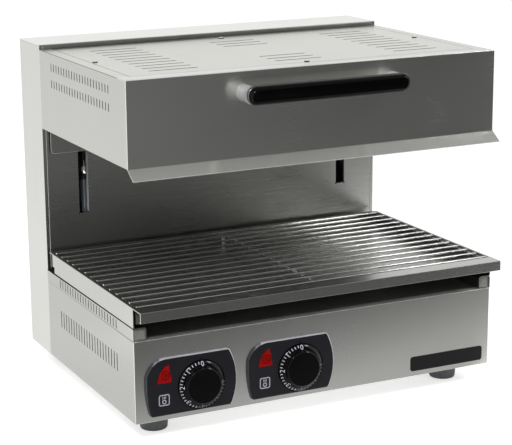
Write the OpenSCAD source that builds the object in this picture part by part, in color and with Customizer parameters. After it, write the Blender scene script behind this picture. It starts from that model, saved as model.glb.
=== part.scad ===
// Rise-and-fall cheese melter: a base with two controls, a rear column, and a heated hood
// that slides up and down on the column above a pan with a wire grid.
// Millimetres. +Z is up, the front faces -Y. The origin is on the standing surface,
// under the middle of the object's outer box.

/* [Body] */
// Width across the side panels
body_w = 600; // [540:5:680]
// Height from the underside of the base to the top of the column
body_h = 502; // [490:2:560]
// Depth of the rear column
column_d = 92; // [88:1:120]
// Depth of the base in front of the column
base_d = 360; // [340:5:420]
// Thickness of the sheet metal
sheet_t = 1.2; // [1:0.1:1.6]
// Width of the folded flanges of the panels
flange_w = 14; // [10:1:18]
// Width of the folded strip at the front corners of the column
corner_strip_w = 6; // [4:1:10]

/* [Feet] */
// Height of the rubber feet
foot_h = 29; // [20:1:40]
// Diameter of a foot at its top
foot_d = 45; // [38:1:48]
// Diameter of a foot where it stands
foot_low_d = 41; // [34:1:44]
// Distance of a foot's centre from the side of the body
foot_inset_x = 50; // [40:1:70]
// Distance of a foot's centre from the front or the back of the body
foot_inset_y = 53; // [40:1:70]
// Diameter of the screw that holds a foot
foot_screw_d = 5; // [4:0.5:6]

/* [Base] */
// Height of the base's panels
panel_h = 124; // [118:1:150]
// Width of a runner
runner_w = 20; // [16:1:26]
// Height of a runner
runner_h = 18.5; // [14:0.5:24]
// Width of the slit left open under a runner
runner_slit_w = 4; // [2:0.5:6]

/* [Vents] */
// Number of slots in each row on the sides
vent_count = 22; // [10:1:24]
// Distance from one side slot to the next
vent_pitch = 11.2; // [9:0.2:12]
// Width of a side slot
vent_w = 2.6; // [2:0.2:4]
// Height of the slots in the base's sides
base_vent_h = 27; // [16:1:40]
// Distance from the top of the base's panel to the top of those slots
base_vent_drop = 35; // [25:1:50]
// Height of the slots in the runners
runner_vent_h = 13.5; // [8:0.5:14]
// Height of the slots in the hood's sides
hood_vent_h = 12; // [8:1:18]
// Distance from the top of the hood to the upper row of slots
hood_vent_drop = 15; // [10:1:24]
// Distance from the upper row of the hood's slots to the lower row
hood_vent_row = 25.5; // [20:0.5:34]
// Length of a slot in the hood's top cover
top_slot_l = 77; // [50:1:90]
// Width of a slot in the hood's top cover
top_slot_w = 4; // [3:0.5:6]
// Distance from one top slot to the next
top_slot_pitch = 25.5; // [20:0.5:28]
// Number of slots in the two outer groups of the top cover
top_slot_count = 10; // [4:1:10]
// Number of slots in the two middle groups of the top cover
top_mid_count = 3; // [1:1:3]
// Distance of the outer groups' centres from the side of the body
top_slot_inset = 100.5; // [80:0.5:120]

/* [Pan and grid] */
// Height of the pan above the runners
pan_h = 31.5; // [26:0.5:40]
// How far the pan's lip stands in front of the base
pan_lip_out = 28; // [15:1:40]
// Height of the pan's front lip
pan_lip_h = 15.5; // [10:0.5:20]
// Gap between the pan and the column
pan_back_gap = 12; // [8:1:30]
// How far the pan's side skirts stop short of the column
skirt_back_gap = 34; // [20:1:60]
// Width of the pan's flat rim at the sides
pan_rim_w = 4.5; // [4:0.5:12]
// Width of the pan's flat rim at the front
pan_front_rim_w = 26.5; // [16:0.5:30]
// Width of the pan's flat rim at the back
pan_back_rim_w = 6; // [5:1:24]
// Depth of the pan's well
well_depth = 23; // [10:0.5:24]
// Radius of the bend at the foot of the pan's skirts
bend_r = 2.5; // [2:0.5:4]
// Diameter of the grid's long wires
wire_d = 4; // [3:0.5:5]
// Diameter of the grid's cross rods
rod_d = 5; // [4:0.5:6]
// Number of wires
wire_count = 14; // [8:1:16]
// Distance from the first and last wire to the ends of the pan's well
wire_end_gap = 6.5; // [6:0.5:20]
// How far the wire ends stand out past the outer cross rods
wire_over = 1.5; // [1:0.5:2]

/* [Hood] */
// Depth of the hood in front of the column
hood_d = 355; // [340:5:420]
// Height of the hood's sides
hood_h = 124; // [115:1:140]
// How far the hood's top lies below the column's top
hood_step = 7; // [4:1:12]
// Gap between the hood and the column
hood_gap = 1; // [0.8:0.1:3]
// How far the flared lip drops below the hood
lip_drop = 13.5; // [8:0.5:20]
// How far the flared lip reaches forward
lip_out = 20; // [12:1:28]
// Width of the rim beside the top cover
cover_side_rim = 20.5; // [14:0.5:26]
// Width of the rim in front of the top cover
cover_front_rim = 32; // [20:1:40]
// Width of the rim behind the top cover
cover_back_rim = 17; // [12:1:24]
// How far the rims reach under the top cover
rim_under = 15; // [12:1:20]
// Diameter of the heads of the cover's screws
cover_screw_head_d = 8; // [6:0.5:10]
// Diameter of the cover's screws
cover_screw_d = 4; // [3:0.5:5]
// Height of the heads of the cover's screws
cover_screw_head_h = 2; // [1.5:0.5:3]
// How far the back plate hangs below the hood's sides
plate_drop = 41; // [30:1:45]
// How far the hanging part of the back plate stays inside the body's side
plate_inset = 12; // [8:1:20]
// Radius of the back plate's lower corners
plate_corner_r = 6; // [3:1:10]

/* [Lift] */
// How far the hood travels down
lift_travel = 105; // [60:5:120]
// Distance of the column's slots from the side of the body
slot_inset = 66; // [60:1:100]
// Width of a slot
slot_w = 16; // [12:1:20]
// How far the lift arms reach below the hood's sides
arm_drop = 35; // [20:1:38]
// Depth of the folded edges along the slots
slot_fold_d = 8; // [4:1:10]
// Diameter of the relief holes at the slots' lower corners
relief_d = 3; // [2:0.5:4]
// Thickness of the lift arms
arm_t = 4; // [3:0.5:5]
// Thickness of the arms' flanges
arm_flange_t = 3; // [2:0.5:4]
// Width of the arms' flanges
arm_flange_w = 30; // [24:1:40]
// Height of the lift arms
arm_h = 100; // [60:1:110]
// Diameter of the bolts that hold the arms
arm_bolt_d = 5; // [4:0.5:6]
// Distance of those bolts from the arms' ends
arm_bolt_inset = 20; // [12:1:28]
// Diameter of the guide rods
guide_d = 12; // [10:1:14]
// Distance of the guide rods behind the column's front
guide_y = 58; // [52:1:66]
// Size across the carriage blocks
block_w = 28; // [26:1:30]
// Outer diameter of the bushes
bush_d = 16; // [15:0.5:18]
// Length of a bush in its block
bush_l = 15; // [8:1:25]
// Clearance of the bushes on the guide rods
bush_clear = 0.4; // [0.3:0.1:0.6]
// Size across the blocks that hold the guide rods' ends
rod_mount_w = 24; // [20:1:28]
// Height of the blocks that hold the guide rods' ends
rod_mount_h = 16; // [10:1:20]

/* [Gas struts] */
// Diameter of a strut's tube
strut_tube_d = 15; // [13:1:15]
// Diameter of a strut's rod
strut_rod_d = 8; // [6:0.5:9]
// Clearance between a strut's rod and its tube
strut_clear = 0.6; // [0.4:0.1:1]
// Distance from the slot's centre to the strut's centre, towards the middle
strut_offset_x = 10; // [10:0.5:14]
// Distance of the struts behind the column's front
strut_y = 22; // [20:1:26]
// Diameter of the pins that hold the struts
strut_pin_d = 6; // [5:0.5:7]
// Outer diameter of a strut's eyes
strut_eye_d = 16; // [13:1:18]
// Width of a strut's eyes
strut_eye_w = 11; // [8:1:12]
// Length of the black end fitting below its eye
fitting_l = 30; // [20:1:40]
// Length of the bare thread below the end fitting
stud_l = 10; // [6:1:20]
// Height of the lock nut
nut_h = 12; // [8:1:14]

/* [Handle] */
// Length of the grip
grip_l = 262; // [200:2:400]
// Height of the grip
grip_h = 28; // [20:1:36]
// Thickness of the grip
grip_t = 15; // [10:1:20]
// How far the handle stands out in front of the hood
handle_reach = 43; // [35:1:60]
// Height of the grip's middle below the hood's top
handle_drop = 30.5; // [20:0.5:80]
// Distance from the grip's end to the middle of its post
post_inset = 10; // [8:1:20]
// Diameter of a post where it meets the hood
post_d = 24; // [12:1:25]
// Diameter of a post where it meets the grip
post_wide_d = 26; // [20:1:28]

/* [Controls] */
// Distance of the left knob from the side of the body
knob_inset = 102; // [90:1:130]
// Distance from one knob to the next
knob_spacing = 161.5; // [155:0.5:180]
// Height of the knobs above the underside of the base
knob_height = 47.5; // [46:0.5:60]
// Radius of a knob's skirt
skirt_r = 36; // [30:0.5:38]
// Radius of a knob's face
knob_r = 27; // [20:0.5:30]
// How far a knob's face stands in front of the base
knob_out = 17; // [15:1:30]
// Thickness of the skirt's rim
skirt_rim_t = 3; // [1:0.5:4]
// Thickness of a bezel
bezel_t = 5; // [4:0.5:8]
// Height of a bezel
bezel_h = 86; // [84:0.5:92]
// Distance from the knob to the bezel's left edge
bezel_left = 86.5; // [82:0.5:88]
// Distance from the knob to the bezel's right edge
bezel_right = 57; // [52:0.5:60]
// Radius of the bezel's large corner
bezel_corner_r = 33; // [20:1:38]
// Radius of the bezel's curved right side
bezel_side_r = 95; // [80:1:130]
// Radius of the bezel's small corners
bezel_small_r = 5; // [3:0.5:8]
// Width of an indicator lens at its foot
lens_w = 22.5; // [18:0.5:25]
// Height of an indicator lens
lens_h = 27; // [22:0.5:28]
// Radius of the lens's curved side
lens_r = 29; // [28:0.5:34]
// How far the lens stands out of its bezel
lens_proud = 1; // [0.5:0.5:2]
// Diameter of the regulators' shafts
shaft_d = 6; // [5:0.5:8]
// Size across a regulator's body
regulator_w = 44; // [36:1:50]
// Depth of a regulator's body
regulator_d = 32; // [24:1:44]
// Diameter of an indicator lamp
lamp_d = 12; // [8:1:14]
// Length of an indicator lamp
lamp_l = 26; // [15:1:40]
// Length of the blank badge plate
badge_w = 130; // [90:1:140]
// Height of the badge plate
badge_h = 23; // [16:1:30]
// Thickness of the badge plate
badge_t = 1.2; // [0.8:0.2:2]

/* [Heating] */
// Diameter of the tubular heating elements
element_d = 8; // [6:0.5:9]
// Distance from one run of an element to the next
element_pitch = 44; // [36:1:46]
// Height of the elements above the hood's lower edge
element_height = 34; // [28:1:40]
// Height of the reflector above the hood's lower edge
reflector_height = 61; // [56:1:70]
// Gap between an element's inner bends and the middle
element_mid_gap = 12; // [6:1:30]
// Distance of the elements' outer bends from the body's side
element_side_gap = 30; // [24:1:50]
// Thickness of the hanger strips
hanger_t = 1.5; // [1:0.5:3]

/* [Supply] */
// Diameter of the cable gland's body
gland_d = 24; // [18:1:30]
// Bore of the cable gland
gland_bore = 9; // [6:0.5:12]
// How far the gland stands out of the back
gland_out = 13; // [8:1:20]
// Thickness of the gland's nuts
gland_nut_t = 5; // [4:0.5:7]
// Distance of the gland from the side of the body
gland_inset = 150; // [100:1:220]
// Height of the gland above the underside of the base
gland_height = 45; // [35:1:60]

/* [Hidden] */

$fn = 48;

// Small working amounts
cut = 1;             // how far a cutter runs past the face that it cuts
sink = 1;            // how deep two rounds of one piece run into each other
slide_gap = 0.3;     // gap between faces that slide past each other
fit_gap = 0.2;       // gap around a piece that is dropped into a pocket
weld = 0.2;          // how deep one wire sinks into the other where they are welded
end_clear = 3;       // what is left between an arm and the slot's end
t = sheet_t;
half_w = body_w / 2;

// Depths
column_front = (hood_d + handle_reach - column_d - gland_out) / 2;
column_back = column_front + column_d;
base_front = column_front - base_d;
hood_front = column_front - hood_d;
hood_back = column_front - hood_gap;
plate_back = hood_back - arm_flange_t;
plate_front = plate_back - t;

// Heights
base_z = foot_h;
floor_top = base_z + 2 * t;
panel_top = base_z + panel_h;
deck_top = panel_top - t;
runner_top = panel_top + runner_h;
pan_top = runner_top + pan_h;
column_top = base_z + body_h;
hood_top = column_top - hood_step;
hood_bottom = hood_top - hood_h;
rim_z = hood_top - t;
arm_z = hood_bottom - arm_drop;
arm_top = arm_z + arm_h;
slot_z = arm_z - end_clear - lift_travel;
slot_top = arm_top + end_clear;

// Vents
base_vent_y = column_front - base_d / 2 + 3;
hood_vent_y = hood_front + (hood_d + vent_pitch) / 2;

// Pan
pan_front = base_front - pan_lip_out;
pan_back = column_front - pan_back_gap;
well_x = half_w - pan_rim_w;
well_front = pan_front + pan_front_rim_w;
well_back = pan_back - pan_back_rim_w;
well_floor = pan_top - well_depth;
skirt_z = runner_top + slide_gap;
skirt_back = column_front - skirt_back_gap;
skirt_flange_w = runner_w - 2;

// Grid
grid_side_gap = 1;
rod_x = well_x - grid_side_gap - rod_d / 2;
wire_z = pan_top - 1;
rod_z = wire_z - (rod_d + wire_d) / 2 + weld;
wire_span = well_back - well_front - 2 * wire_end_gap;
wire_pitch = wire_span / (wire_count - 1);
grid_mid_y = (well_front + well_back) / 2;
leg_reach = wire_span / 2 + 1;

// Hood
cover_seam = 1;
top_slot_x = half_w - top_slot_inset;
cover_x = half_w - cover_side_rim;
cover_front = hood_front + cover_front_rim;
cover_back = column_front - cover_back_rim - hood_gap;
side_rim_w = cover_side_rim + rim_under;
cover_mid_y = (cover_front + cover_back) / 2;
screw_edge = 7;
plate_z = hood_bottom - plate_drop;
reflector_z = hood_bottom + reflector_height;
reflector_low_z = hood_bottom + 9;
reflector_flange_z = reflector_low_z + 12;
reflector_slope_d = 34;
element_z = hood_bottom + element_height;

// Lift
slot_x = half_w - slot_inset;
strut_x = slot_x - strut_offset_x;
strut_yy = column_front + strut_y;
guide_yy = column_front + guide_y;
block_front = guide_yy - block_w / 2;
bush_flange_t = 2;
bush_flange_d = bush_d + 4;
bush_fit = 0.1;
eye_z = arm_z + strut_eye_d / 2 + 4;
fitting_z = eye_z - strut_eye_d / 2 - fitting_l;
stud_z = fitting_z - stud_l;
nut_z = stud_z - nut_h;
collar_h = 9;
collar_d = strut_tube_d + 1.5;
tube_top = nut_z;
tube_l = lift_travel + 54;
tube_z = tube_top - tube_l;
bore_depth = tube_l - collar_h - 6;
low_eye_d = 12;
low_eye_z = floor_top + 4 + low_eye_d / 2;
bracket_t = 2;
rod_in_tube = 22;

// Handle
handle_z = hood_top - handle_drop;
handle_front = hood_front - handle_reach;
grip_back = handle_front + grip_t;
grip_x = (grip_l - grip_h) / 2;
post_x = grip_l / 2 - post_inset;
post_l = hood_front - grip_back;
post_screw_d = 6;

// Controls
knob_left_x = -half_w + knob_inset;
knob_right_x = knob_left_x + knob_spacing;
knob_z = base_z + knob_height;
recess_r = skirt_r + 1.5;
recess_depth = 2;
skirt_h0 = bezel_t - recess_depth + slide_gap;
lens_x = -69;
lens_z = 10.5;
lens_lean = 4.8;
lens_pocket_gap = 0.2;
lamp_x = lens_x + 13.5;
lamp_z = lens_z + 10;
shaft_hole_d = shaft_d + 4;
shaft_in = 10;
shaft_out = knob_out - 4;
badge_x = half_w - 12 - badge_w;
badge_z = base_z + 8;

// Supply
gland_x = half_w - gland_inset;
gland_z = base_z + gland_height;
gland_neck_d = 0.75 * gland_d;

// Heating
element_bend_r = element_pitch / 2;
element_runs = 6;
element_span = (element_runs - 1) * element_pitch;
element_y0 = (hood_front + plate_front - element_span) / 2;
element_in_x = element_mid_gap + element_d / 2 + element_bend_r;
element_out_x = half_w - element_side_gap - element_d / 2 - element_bend_r;
riser_r = 16;
riser_x = element_out_x + riser_r + 2;
riser_top = reflector_z + 6;
ceramic_d = 13;
ceramic_h = 14;
hanger_x = [element_in_x + 35, element_out_x - 35];

// Box from one corner to the other
module block(a, b) {
    translate(a) cube(b - a);
}

// A part drawn for the right side, turned over to the left
module on_left() {
    mirror([1, 0, 0]) children();
}

// The same thing on both sides
module both_sides() {
    children();
    on_left() children();
}

// Slot with round ends that lies along X and is cut down through a plate
module flat_slot(centre, length, width, depth) {
    translate(centre) {
        translate([-(length - width) / 2, -width / 2, 0]) cube([length - width, width, depth]);
        for (end = [-1, 1]) translate([end * (length - width) / 2, 0, 0]) cylinder(d = width, h = depth);
    }
}

// Row of upright slots cut through a side panel on the right
module side_vents(middle_y, low_z, high_z) {
    for (i = [0 : vent_count - 1]) {
        y = middle_y + (i - (vent_count - 1) / 2) * vent_pitch;
        block([half_w - t - cut, y - vent_w / 2, low_z], [half_w + cut, y + vent_w / 2, high_z]);
    }
}

// Rod along Y, X or Z between two ends
module rod_y(x, y0, y1, z, d) {
    translate([x, y0, z]) rotate([-90, 0, 0]) cylinder(d = d, h = y1 - y0);
}

module rod_x_between(x0, x1, y, z, d) {
    translate([x0, y, z]) rotate([0, 90, 0]) cylinder(d = d, h = x1 - x0);
}

module rod_z_between(x, y, z0, z1, d) {
    translate([x, y, z0]) cylinder(d = d, h = z1 - z0);
}

// ---------------------------------------------------------------- base

// Front panel of the base, with its folded top and bottom edges
module base_front_panel() {
    color("silver") difference() {
        union() {
            block([-half_w, base_front, base_z], [half_w, base_front + t, panel_top]);
            block([-half_w + t, base_front, deck_top], [half_w - t, base_front + flange_w, panel_top]);
            block([-half_w + t, base_front, base_z], [half_w - t, base_front + flange_w, base_z + t]);
        }
        for (x = [knob_left_x, knob_right_x]) {
            rod_y(x, base_front - cut, base_front + t + cut, knob_z, shaft_hole_d);
            rod_y(x + lamp_x, base_front - cut, base_front + t + cut, knob_z + lamp_z, lamp_d + 2 * fit_gap);
        }
    }
}

// Side panel of the base, with a row of vent slots
module base_side_right() {
    color("gainsboro") difference() {
        union() {
            block([half_w - t, base_front + t, base_z], [half_w, column_front, panel_top]);
            block([half_w - flange_w, base_front + flange_w, deck_top],
                [half_w - t, column_front, panel_top]);
            block([half_w - flange_w, base_front + flange_w, base_z], [half_w - t, column_front, base_z + t]);
        }
        side_vents(base_vent_y, panel_top - base_vent_drop - base_vent_h, panel_top - base_vent_drop);
    }
}

module base_side_left() {
    on_left() base_side_right();
}

// The four places where a foot is screwed on
module at_feet() {
    for (side = [-1, 1], y = [base_front + foot_inset_y, column_back - foot_inset_y])
        translate([side * (half_w - foot_inset_x), y, 0]) children();
}

// Floor that closes the base and the foot of the column
module base_floor() {
    color("darkgray") difference() {
        block([-half_w + t, base_front + t, base_z + t], [half_w - t, column_back - t, floor_top]);
        at_feet() translate([0, 0, base_z]) cylinder(d = foot_screw_d + 2 * fit_gap, h = 3 * t);
    }
}

// Deck between the warm top of the base and the electrical space below it
module deck_plate() {
    color("dimgray") block([-half_w + t, base_front + t, deck_top - t], [half_w - t, column_front, deck_top]);
}

// Folded runner that carries the pan, open at its front end
module runner_right() {
    color("gainsboro") difference() {
        block([half_w - runner_w, base_front, panel_top], [half_w, column_front, runner_top]);
        block([half_w - runner_w + t, base_front - cut, panel_top + t],
            [half_w - t, column_front + cut, runner_top - t]);
        block([half_w - t - runner_slit_w, base_front - cut, panel_top - cut],
            [half_w - t, column_front + cut, panel_top + t + cut]);
        side_vents(base_vent_y, panel_top + (runner_h - runner_vent_h) / 2,
            panel_top + (runner_h + runner_vent_h) / 2);
    }
}

module runner_left() {
    on_left() runner_right();
}

// Four rubber feet, each with a boss against the floor and a pocket for its screw
module rubber_feet() {
    head_h = 9;
    color([0.13, 0.13, 0.14]) at_feet() difference() {
        union() {
            cylinder(d1 = foot_low_d, d2 = foot_d, h = foot_h - 4, $fn = 64);
            translate([0, 0, foot_h - 4]) cylinder(d = foot_d, h = 4, $fn = 64);
            cylinder(d = 20, h = foot_h + t);
        }
        translate([0, 0, -cut]) cylinder(d = foot_screw_d + 2 * fit_gap, h = foot_h + 3 * cut + t);
        translate([0, 0, -cut]) cylinder(d = 2 * foot_screw_d + 2, h = head_h + cut);
    }
}

// Screws of the feet, each with its nut on the floor
module foot_screws() {
    head_h = 9;
    color("lightgray") at_feet() {
        translate([0, 0, head_h - 3]) cylinder(d = 2 * foot_screw_d, h = 3);
        translate([0, 0, head_h - 1]) cylinder(d = foot_screw_d, h = floor_top + 6 - head_h);
        translate([0, 0, floor_top]) cylinder(d = 1.8 * foot_screw_d, h = 4, $fn = 6);
    }
}

// Blank plate at the lower right of the front
module badge_plate() {
    color([0.08, 0.08, 0.09])
        block([badge_x, base_front - badge_t, badge_z], [badge_x + badge_w, base_front, badge_z + badge_h]);
}

// ---------------------------------------------------------------- controls

// Outline of a bezel seen from the front, round the knob's axis
module bezel_outline() {
    low = 3.8 - bezel_h / 2;
    high = low + bezel_h;
    left_r = 157;
    left_mid = [left_r - bezel_left, 7.5];
    right_mid = [bezel_right - bezel_side_r, 1.5];
    difference() {
        intersection() {
            translate([-bezel_left, low]) square([bezel_left + bezel_right, bezel_h]);
            translate(right_mid) circle(r = bezel_side_r, $fn = 180);
            translate(left_mid) circle(r = left_r, $fn = 240);
        }
        difference() {
            translate([-bezel_left - cut, high - bezel_corner_r])
                square([bezel_corner_r + cut, bezel_corner_r + cut]);
            translate([-bezel_left + bezel_corner_r, high - bezel_corner_r])
                circle(r = bezel_corner_r, $fn = 96);
        }
        corner_waste(right_mid, bezel_side_r, high, 1, 1);
        corner_waste(right_mid, bezel_side_r, low, 1, -1);
        corner_waste(left_mid, left_r, low, -1, -1);
    }
}

// What a round corner leaves over between a curved side and a level edge
module corner_waste(mid, side_r, edge_z, side, up) {
    z = edge_z - up * bezel_small_r;
    reach_r = side_r - bezel_small_r;
    angle = asin((z - mid.y) / reach_r);
    corner = [mid.x + side * reach_r * cos(angle), z];
    beyond = 3 * bezel_small_r;
    difference() {
        translate(corner) polygon([[0, 0], beyond * [side * cos(angle), sin(angle)],
            beyond * [side, up], beyond * [0, up]]);
        translate(corner) circle(r = bezel_small_r, $fn = 48);
    }
}

// Outline of an indicator lens, with one curved and one leaning side
module lens_outline(gap) {
    intersection() {
        translate([lens_x, lens_z]) polygon([[-gap, -gap], [lens_w + gap, -gap],
            [lens_w - lens_lean + gap, lens_h + gap], [-gap, lens_h + gap]]);
        translate([lens_x + lens_r, lens_z]) circle(r = lens_r + gap, $fn = 96);
    }
}

// A piece drawn in the front view of a control and raised towards the viewer
module raised(x, from_h, to_h) {
    translate([x, base_front - from_h, knob_z]) rotate([90, 0, 0]) linear_extrude(to_h - from_h) children();
}

module control_bezel(x) {
    color([0.09, 0.09, 0.11]) difference() {
        raised(x, 0, bezel_t) bezel_outline();
        rod_y(x, base_front - bezel_t - cut, base_front - bezel_t + recess_depth, knob_z, 2 * recess_r);
        rod_y(x, base_front - bezel_t - cut, base_front + cut, knob_z, shaft_hole_d);
        raised(x, -cut, bezel_t + cut) lens_outline(lens_pocket_gap);
    }
}

module control_bezel_left() {
    control_bezel(knob_left_x);
}

module control_bezel_right() {
    control_bezel(knob_right_x);
}

// Red lenses that stand in the bezels
module indicator_lenses() {
    color("firebrick") for (x = [knob_left_x, knob_right_x])
        raised(x, 0, bezel_t + lens_proud) lens_outline(0);
}

// Lamps behind the lenses
module indicator_lamps() {
    color("dimgray") for (x = [knob_left_x, knob_right_x])
        rod_y(x + lamp_x, base_front, base_front + lamp_l, knob_z + lamp_z, lamp_d);
}

// Profile of a knob, as radius and distance from the base's front
module knob_profile() {
    grip_h0 = skirt_h0 + (knob_out - skirt_h0) / 2;
    edge = 1;
    polygon([[0, skirt_h0], [skirt_r, skirt_h0], [skirt_r, skirt_h0 + skirt_rim_t],
        [knob_r + 1.5, grip_h0], [knob_r + 0.5, grip_h0], [knob_r, knob_out - edge],
        [knob_r - edge, knob_out], [0, knob_out]]);
}

module control_knob(x) {
    color([0.05, 0.05, 0.05]) difference() {
        translate([x, base_front, knob_z]) rotate([90, 0, 0]) rotate_extrude($fn = 96) knob_profile();
        rod_y(x, base_front - shaft_out - fit_gap, base_front, knob_z, shaft_d + 2 * fit_gap);
    }
}

module control_knob_left() {
    control_knob(knob_left_x);
}

module control_knob_right() {
    control_knob(knob_right_x);
}

// Shaft that the knob turns in its regulator
module regulator_shaft(x) {
    color("lightgray") rod_y(x, base_front - shaft_out, base_front + t + shaft_in, knob_z, shaft_d);
}

module regulator_shaft_left() {
    regulator_shaft(knob_left_x);
}

module regulator_shaft_right() {
    regulator_shaft(knob_right_x);
}

// Heat regulator behind the front panel, with its contact blades at the back
module energy_regulator(x) {
    blade_w = 6.3;
    color([0.75, 0.72, 0.62]) difference() {
        union() {
            block([x - regulator_w / 2, base_front + t, knob_z - regulator_w / 2],
                [x + regulator_w / 2, base_front + t + regulator_d, knob_z + regulator_w / 2]);
            for (dx = [-12, 0, 12], dz = [-10, 10])
                block([x + dx - blade_w / 2, base_front + t + regulator_d - cut, knob_z + dz - 0.4],
                    [x + dx + blade_w / 2, base_front + t + regulator_d + 8, knob_z + dz + 0.4]);
        }
        rod_y(x, base_front, base_front + t + shaft_in + 1, knob_z, shaft_d + 2 * slide_gap);
        rod_y(x + lamp_x, base_front, base_front + lamp_l + cut, knob_z + lamp_z, lamp_d + 2);
    }
}

module energy_regulator_left() {
    energy_regulator(knob_left_x);
}

module energy_regulator_right() {
    energy_regulator(knob_right_x);
}

// ---------------------------------------------------------------- supply

// Terminals of the supply, on the floor at the foot of the column
module terminal_block() {
    poles = 5;
    pole_w = 12;
    block_d = 26;
    block_h = 22;
    wire_hole_d = 5;
    screw_hole_d = 6;
    half = poles * pole_w / 2;
    y0 = column_front + (column_d - block_d) / 2 - 13;
    color("ivory") difference() {
        block([gland_x - half, y0, floor_top], [gland_x + half, y0 + block_d, floor_top + block_h]);
        for (i = [0 : poles - 1]) {
            x = gland_x - half + (i + 0.5) * pole_w;
            rod_y(x, y0 - cut, y0 + block_d + cut, floor_top + 0.32 * block_h, wire_hole_d);
            rod_z_between(x, y0 + block_d / 2, floor_top + block_h / 2, floor_top + block_h + cut,
                screw_hole_d);
        }
    }
}

// Gland in the back cover, ready for a supply cable
module cable_gland() {
    inner_end = column_back - t - gland_nut_t - 3;
    color([0.15, 0.15, 0.15]) difference() {
        union() {
            rod_y(gland_x, inner_end, column_back + gland_out, gland_z, gland_neck_d);
            for (y = [column_back - t - gland_nut_t, column_back])
                translate([gland_x, y, gland_z]) rotate([-90, 0, 0])
                    cylinder(d = gland_d, h = gland_nut_t, $fn = 6);
        }
        rod_y(gland_x, inner_end - cut, column_back + gland_out + cut, gland_z, gland_bore);
    }
}

// ---------------------------------------------------------------- column

// Side of the column, with its folded edges
module column_side_right() {
    color("gainsboro") {
        block([half_w - t, column_front, base_z], [half_w, column_back, column_top - t]);
        block([half_w - corner_strip_w, column_front, floor_top],
            [half_w - t, column_front + t, column_top - t]);
        block([half_w - flange_w, column_back - 2 * t, floor_top],
            [half_w - t, column_back - t, column_top - t]);
        block([half_w - flange_w, column_front, base_z], [half_w - t, column_back - t, base_z + t]);
    }
}

module column_side_left() {
    on_left() column_side_right();
}

// Front of the column, with two slots whose edges are folded in
module column_front_panel() {
    edge_x = half_w - corner_strip_w;
    color("silver") difference() {
        union() {
            block([-edge_x, column_front, deck_top - t], [edge_x, column_front + t, column_top - t]);
            both_sides() for (side = [-1, 1]) {
                x = slot_x + side * (slot_w + t) / 2;
                block([x - t / 2, column_front, slot_z], [x + t / 2, column_front + slot_fold_d, slot_top]);
            }
        }
        both_sides() {
            block([slot_x - slot_w / 2, column_front - cut, slot_z],
                [slot_x + slot_w / 2, column_front + slot_fold_d + cut, slot_top]);
            for (side = [-1, 1])
                rod_y(slot_x + side * slot_w / 2, column_front - cut, column_front + slot_fold_d + cut,
                    slot_z, relief_d);
        }
    }
}

// Places of the screws that hold the back cover
module at_back_screws() {
    rows = 4;
    end_gap = 30;
    for (side = [-1, 1], i = [0 : rows - 1]) {
        z = base_z + end_gap + i * (body_h - 2 * end_gap) / (rows - 1);
        translate([side * (half_w - t - (flange_w - t) / 2), column_back, z]) rotate([-90, 0, 0]) children();
    }
}

// Back cover of the column, with louvre slots and the gland's hole
module column_back_cover() {
    louvre_l = 90;
    louvre_w = 4;
    louvre_x = half_w / 2;
    louvre_pitch = 14;
    color("silver") difference() {
        block([-half_w + t, column_back - t, base_z], [half_w - t, column_back, column_top - t]);
        for (x = [-louvre_x, 0, louvre_x], i = [0 : 5]) {
            z = column_top - 60 - i * louvre_pitch;
            block([x - louvre_l / 2, column_back - t - cut, z],
                [x + louvre_l / 2, column_back + cut, z + louvre_w]);
        }
        for (x = [-louvre_x, 0], i = [0 : 3]) {
            z = base_z + 40 + i * louvre_pitch;
            block([x - louvre_l / 2, column_back - t - cut, z],
                [x + louvre_l / 2, column_back + cut, z + louvre_w]);
        }
        rod_y(gland_x, column_back - t - cut, column_back + cut, gland_z, gland_neck_d + 2 * fit_gap);
        at_back_screws() translate([0, 0, -2 * t]) cylinder(d = cover_screw_d + 2 * fit_gap, h = 3 * t);
    }
}

module back_cover_screws() {
    color("lightgray") at_back_screws() {
        cylinder(d = cover_screw_head_d, h = cover_screw_head_h);
        translate([0, 0, -t]) cylinder(d = cover_screw_d, h = t + sink);
    }
}

// Cap that closes the top of the column
module column_top_cap() {
    color("whitesmoke") {
        block([-half_w, column_front, column_top - t], [half_w, column_back, column_top]);
        block([-half_w + flange_w, column_front + t, column_top - flange_w],
            [half_w - flange_w, column_front + 2 * t, column_top - t]);
        block([-half_w + flange_w, column_back - 2 * t, column_top - flange_w],
            [half_w - flange_w, column_back - t, column_top - t]);
    }
}

// ---------------------------------------------------------------- lift, fixed pieces

// Two upright steel rods that guide the hood
module guide_rods() {
    color("lightsteelblue") both_sides()
        rod_z_between(slot_x, guide_yy, floor_top, column_top - t, guide_d);
}

// Blocks that hold the ends of the guide rods
module guide_rod_mounts() {
    color("dimgray") both_sides() for (z = [floor_top, column_top - t - rod_mount_h]) difference() {
        block([slot_x - rod_mount_w / 2, guide_yy - rod_mount_w / 2, z],
            [slot_x + rod_mount_w / 2, guide_yy + rod_mount_w / 2, z + rod_mount_h]);
        rod_z_between(slot_x, guide_yy, z - cut, z + rod_mount_h + cut, guide_d + fit_gap);
    }
}

// Piston rod of a strut, with the eye at its foot
module strut_rod_right() {
    color("whitesmoke") difference() {
        union() {
            rod_z_between(strut_x, strut_yy, low_eye_z + low_eye_d / 2 - 1, tube_z + rod_in_tube,
                strut_rod_d);
            rod_x_between(strut_x - strut_eye_w / 2, strut_x + strut_eye_w / 2, strut_yy, low_eye_z,
                low_eye_d);
        }
        rod_x_between(strut_x - strut_eye_w, strut_x + strut_eye_w, strut_yy, low_eye_z,
            strut_pin_d + 2 * fit_gap);
    }
}

module strut_rod_left() {
    on_left() strut_rod_right();
}

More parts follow.
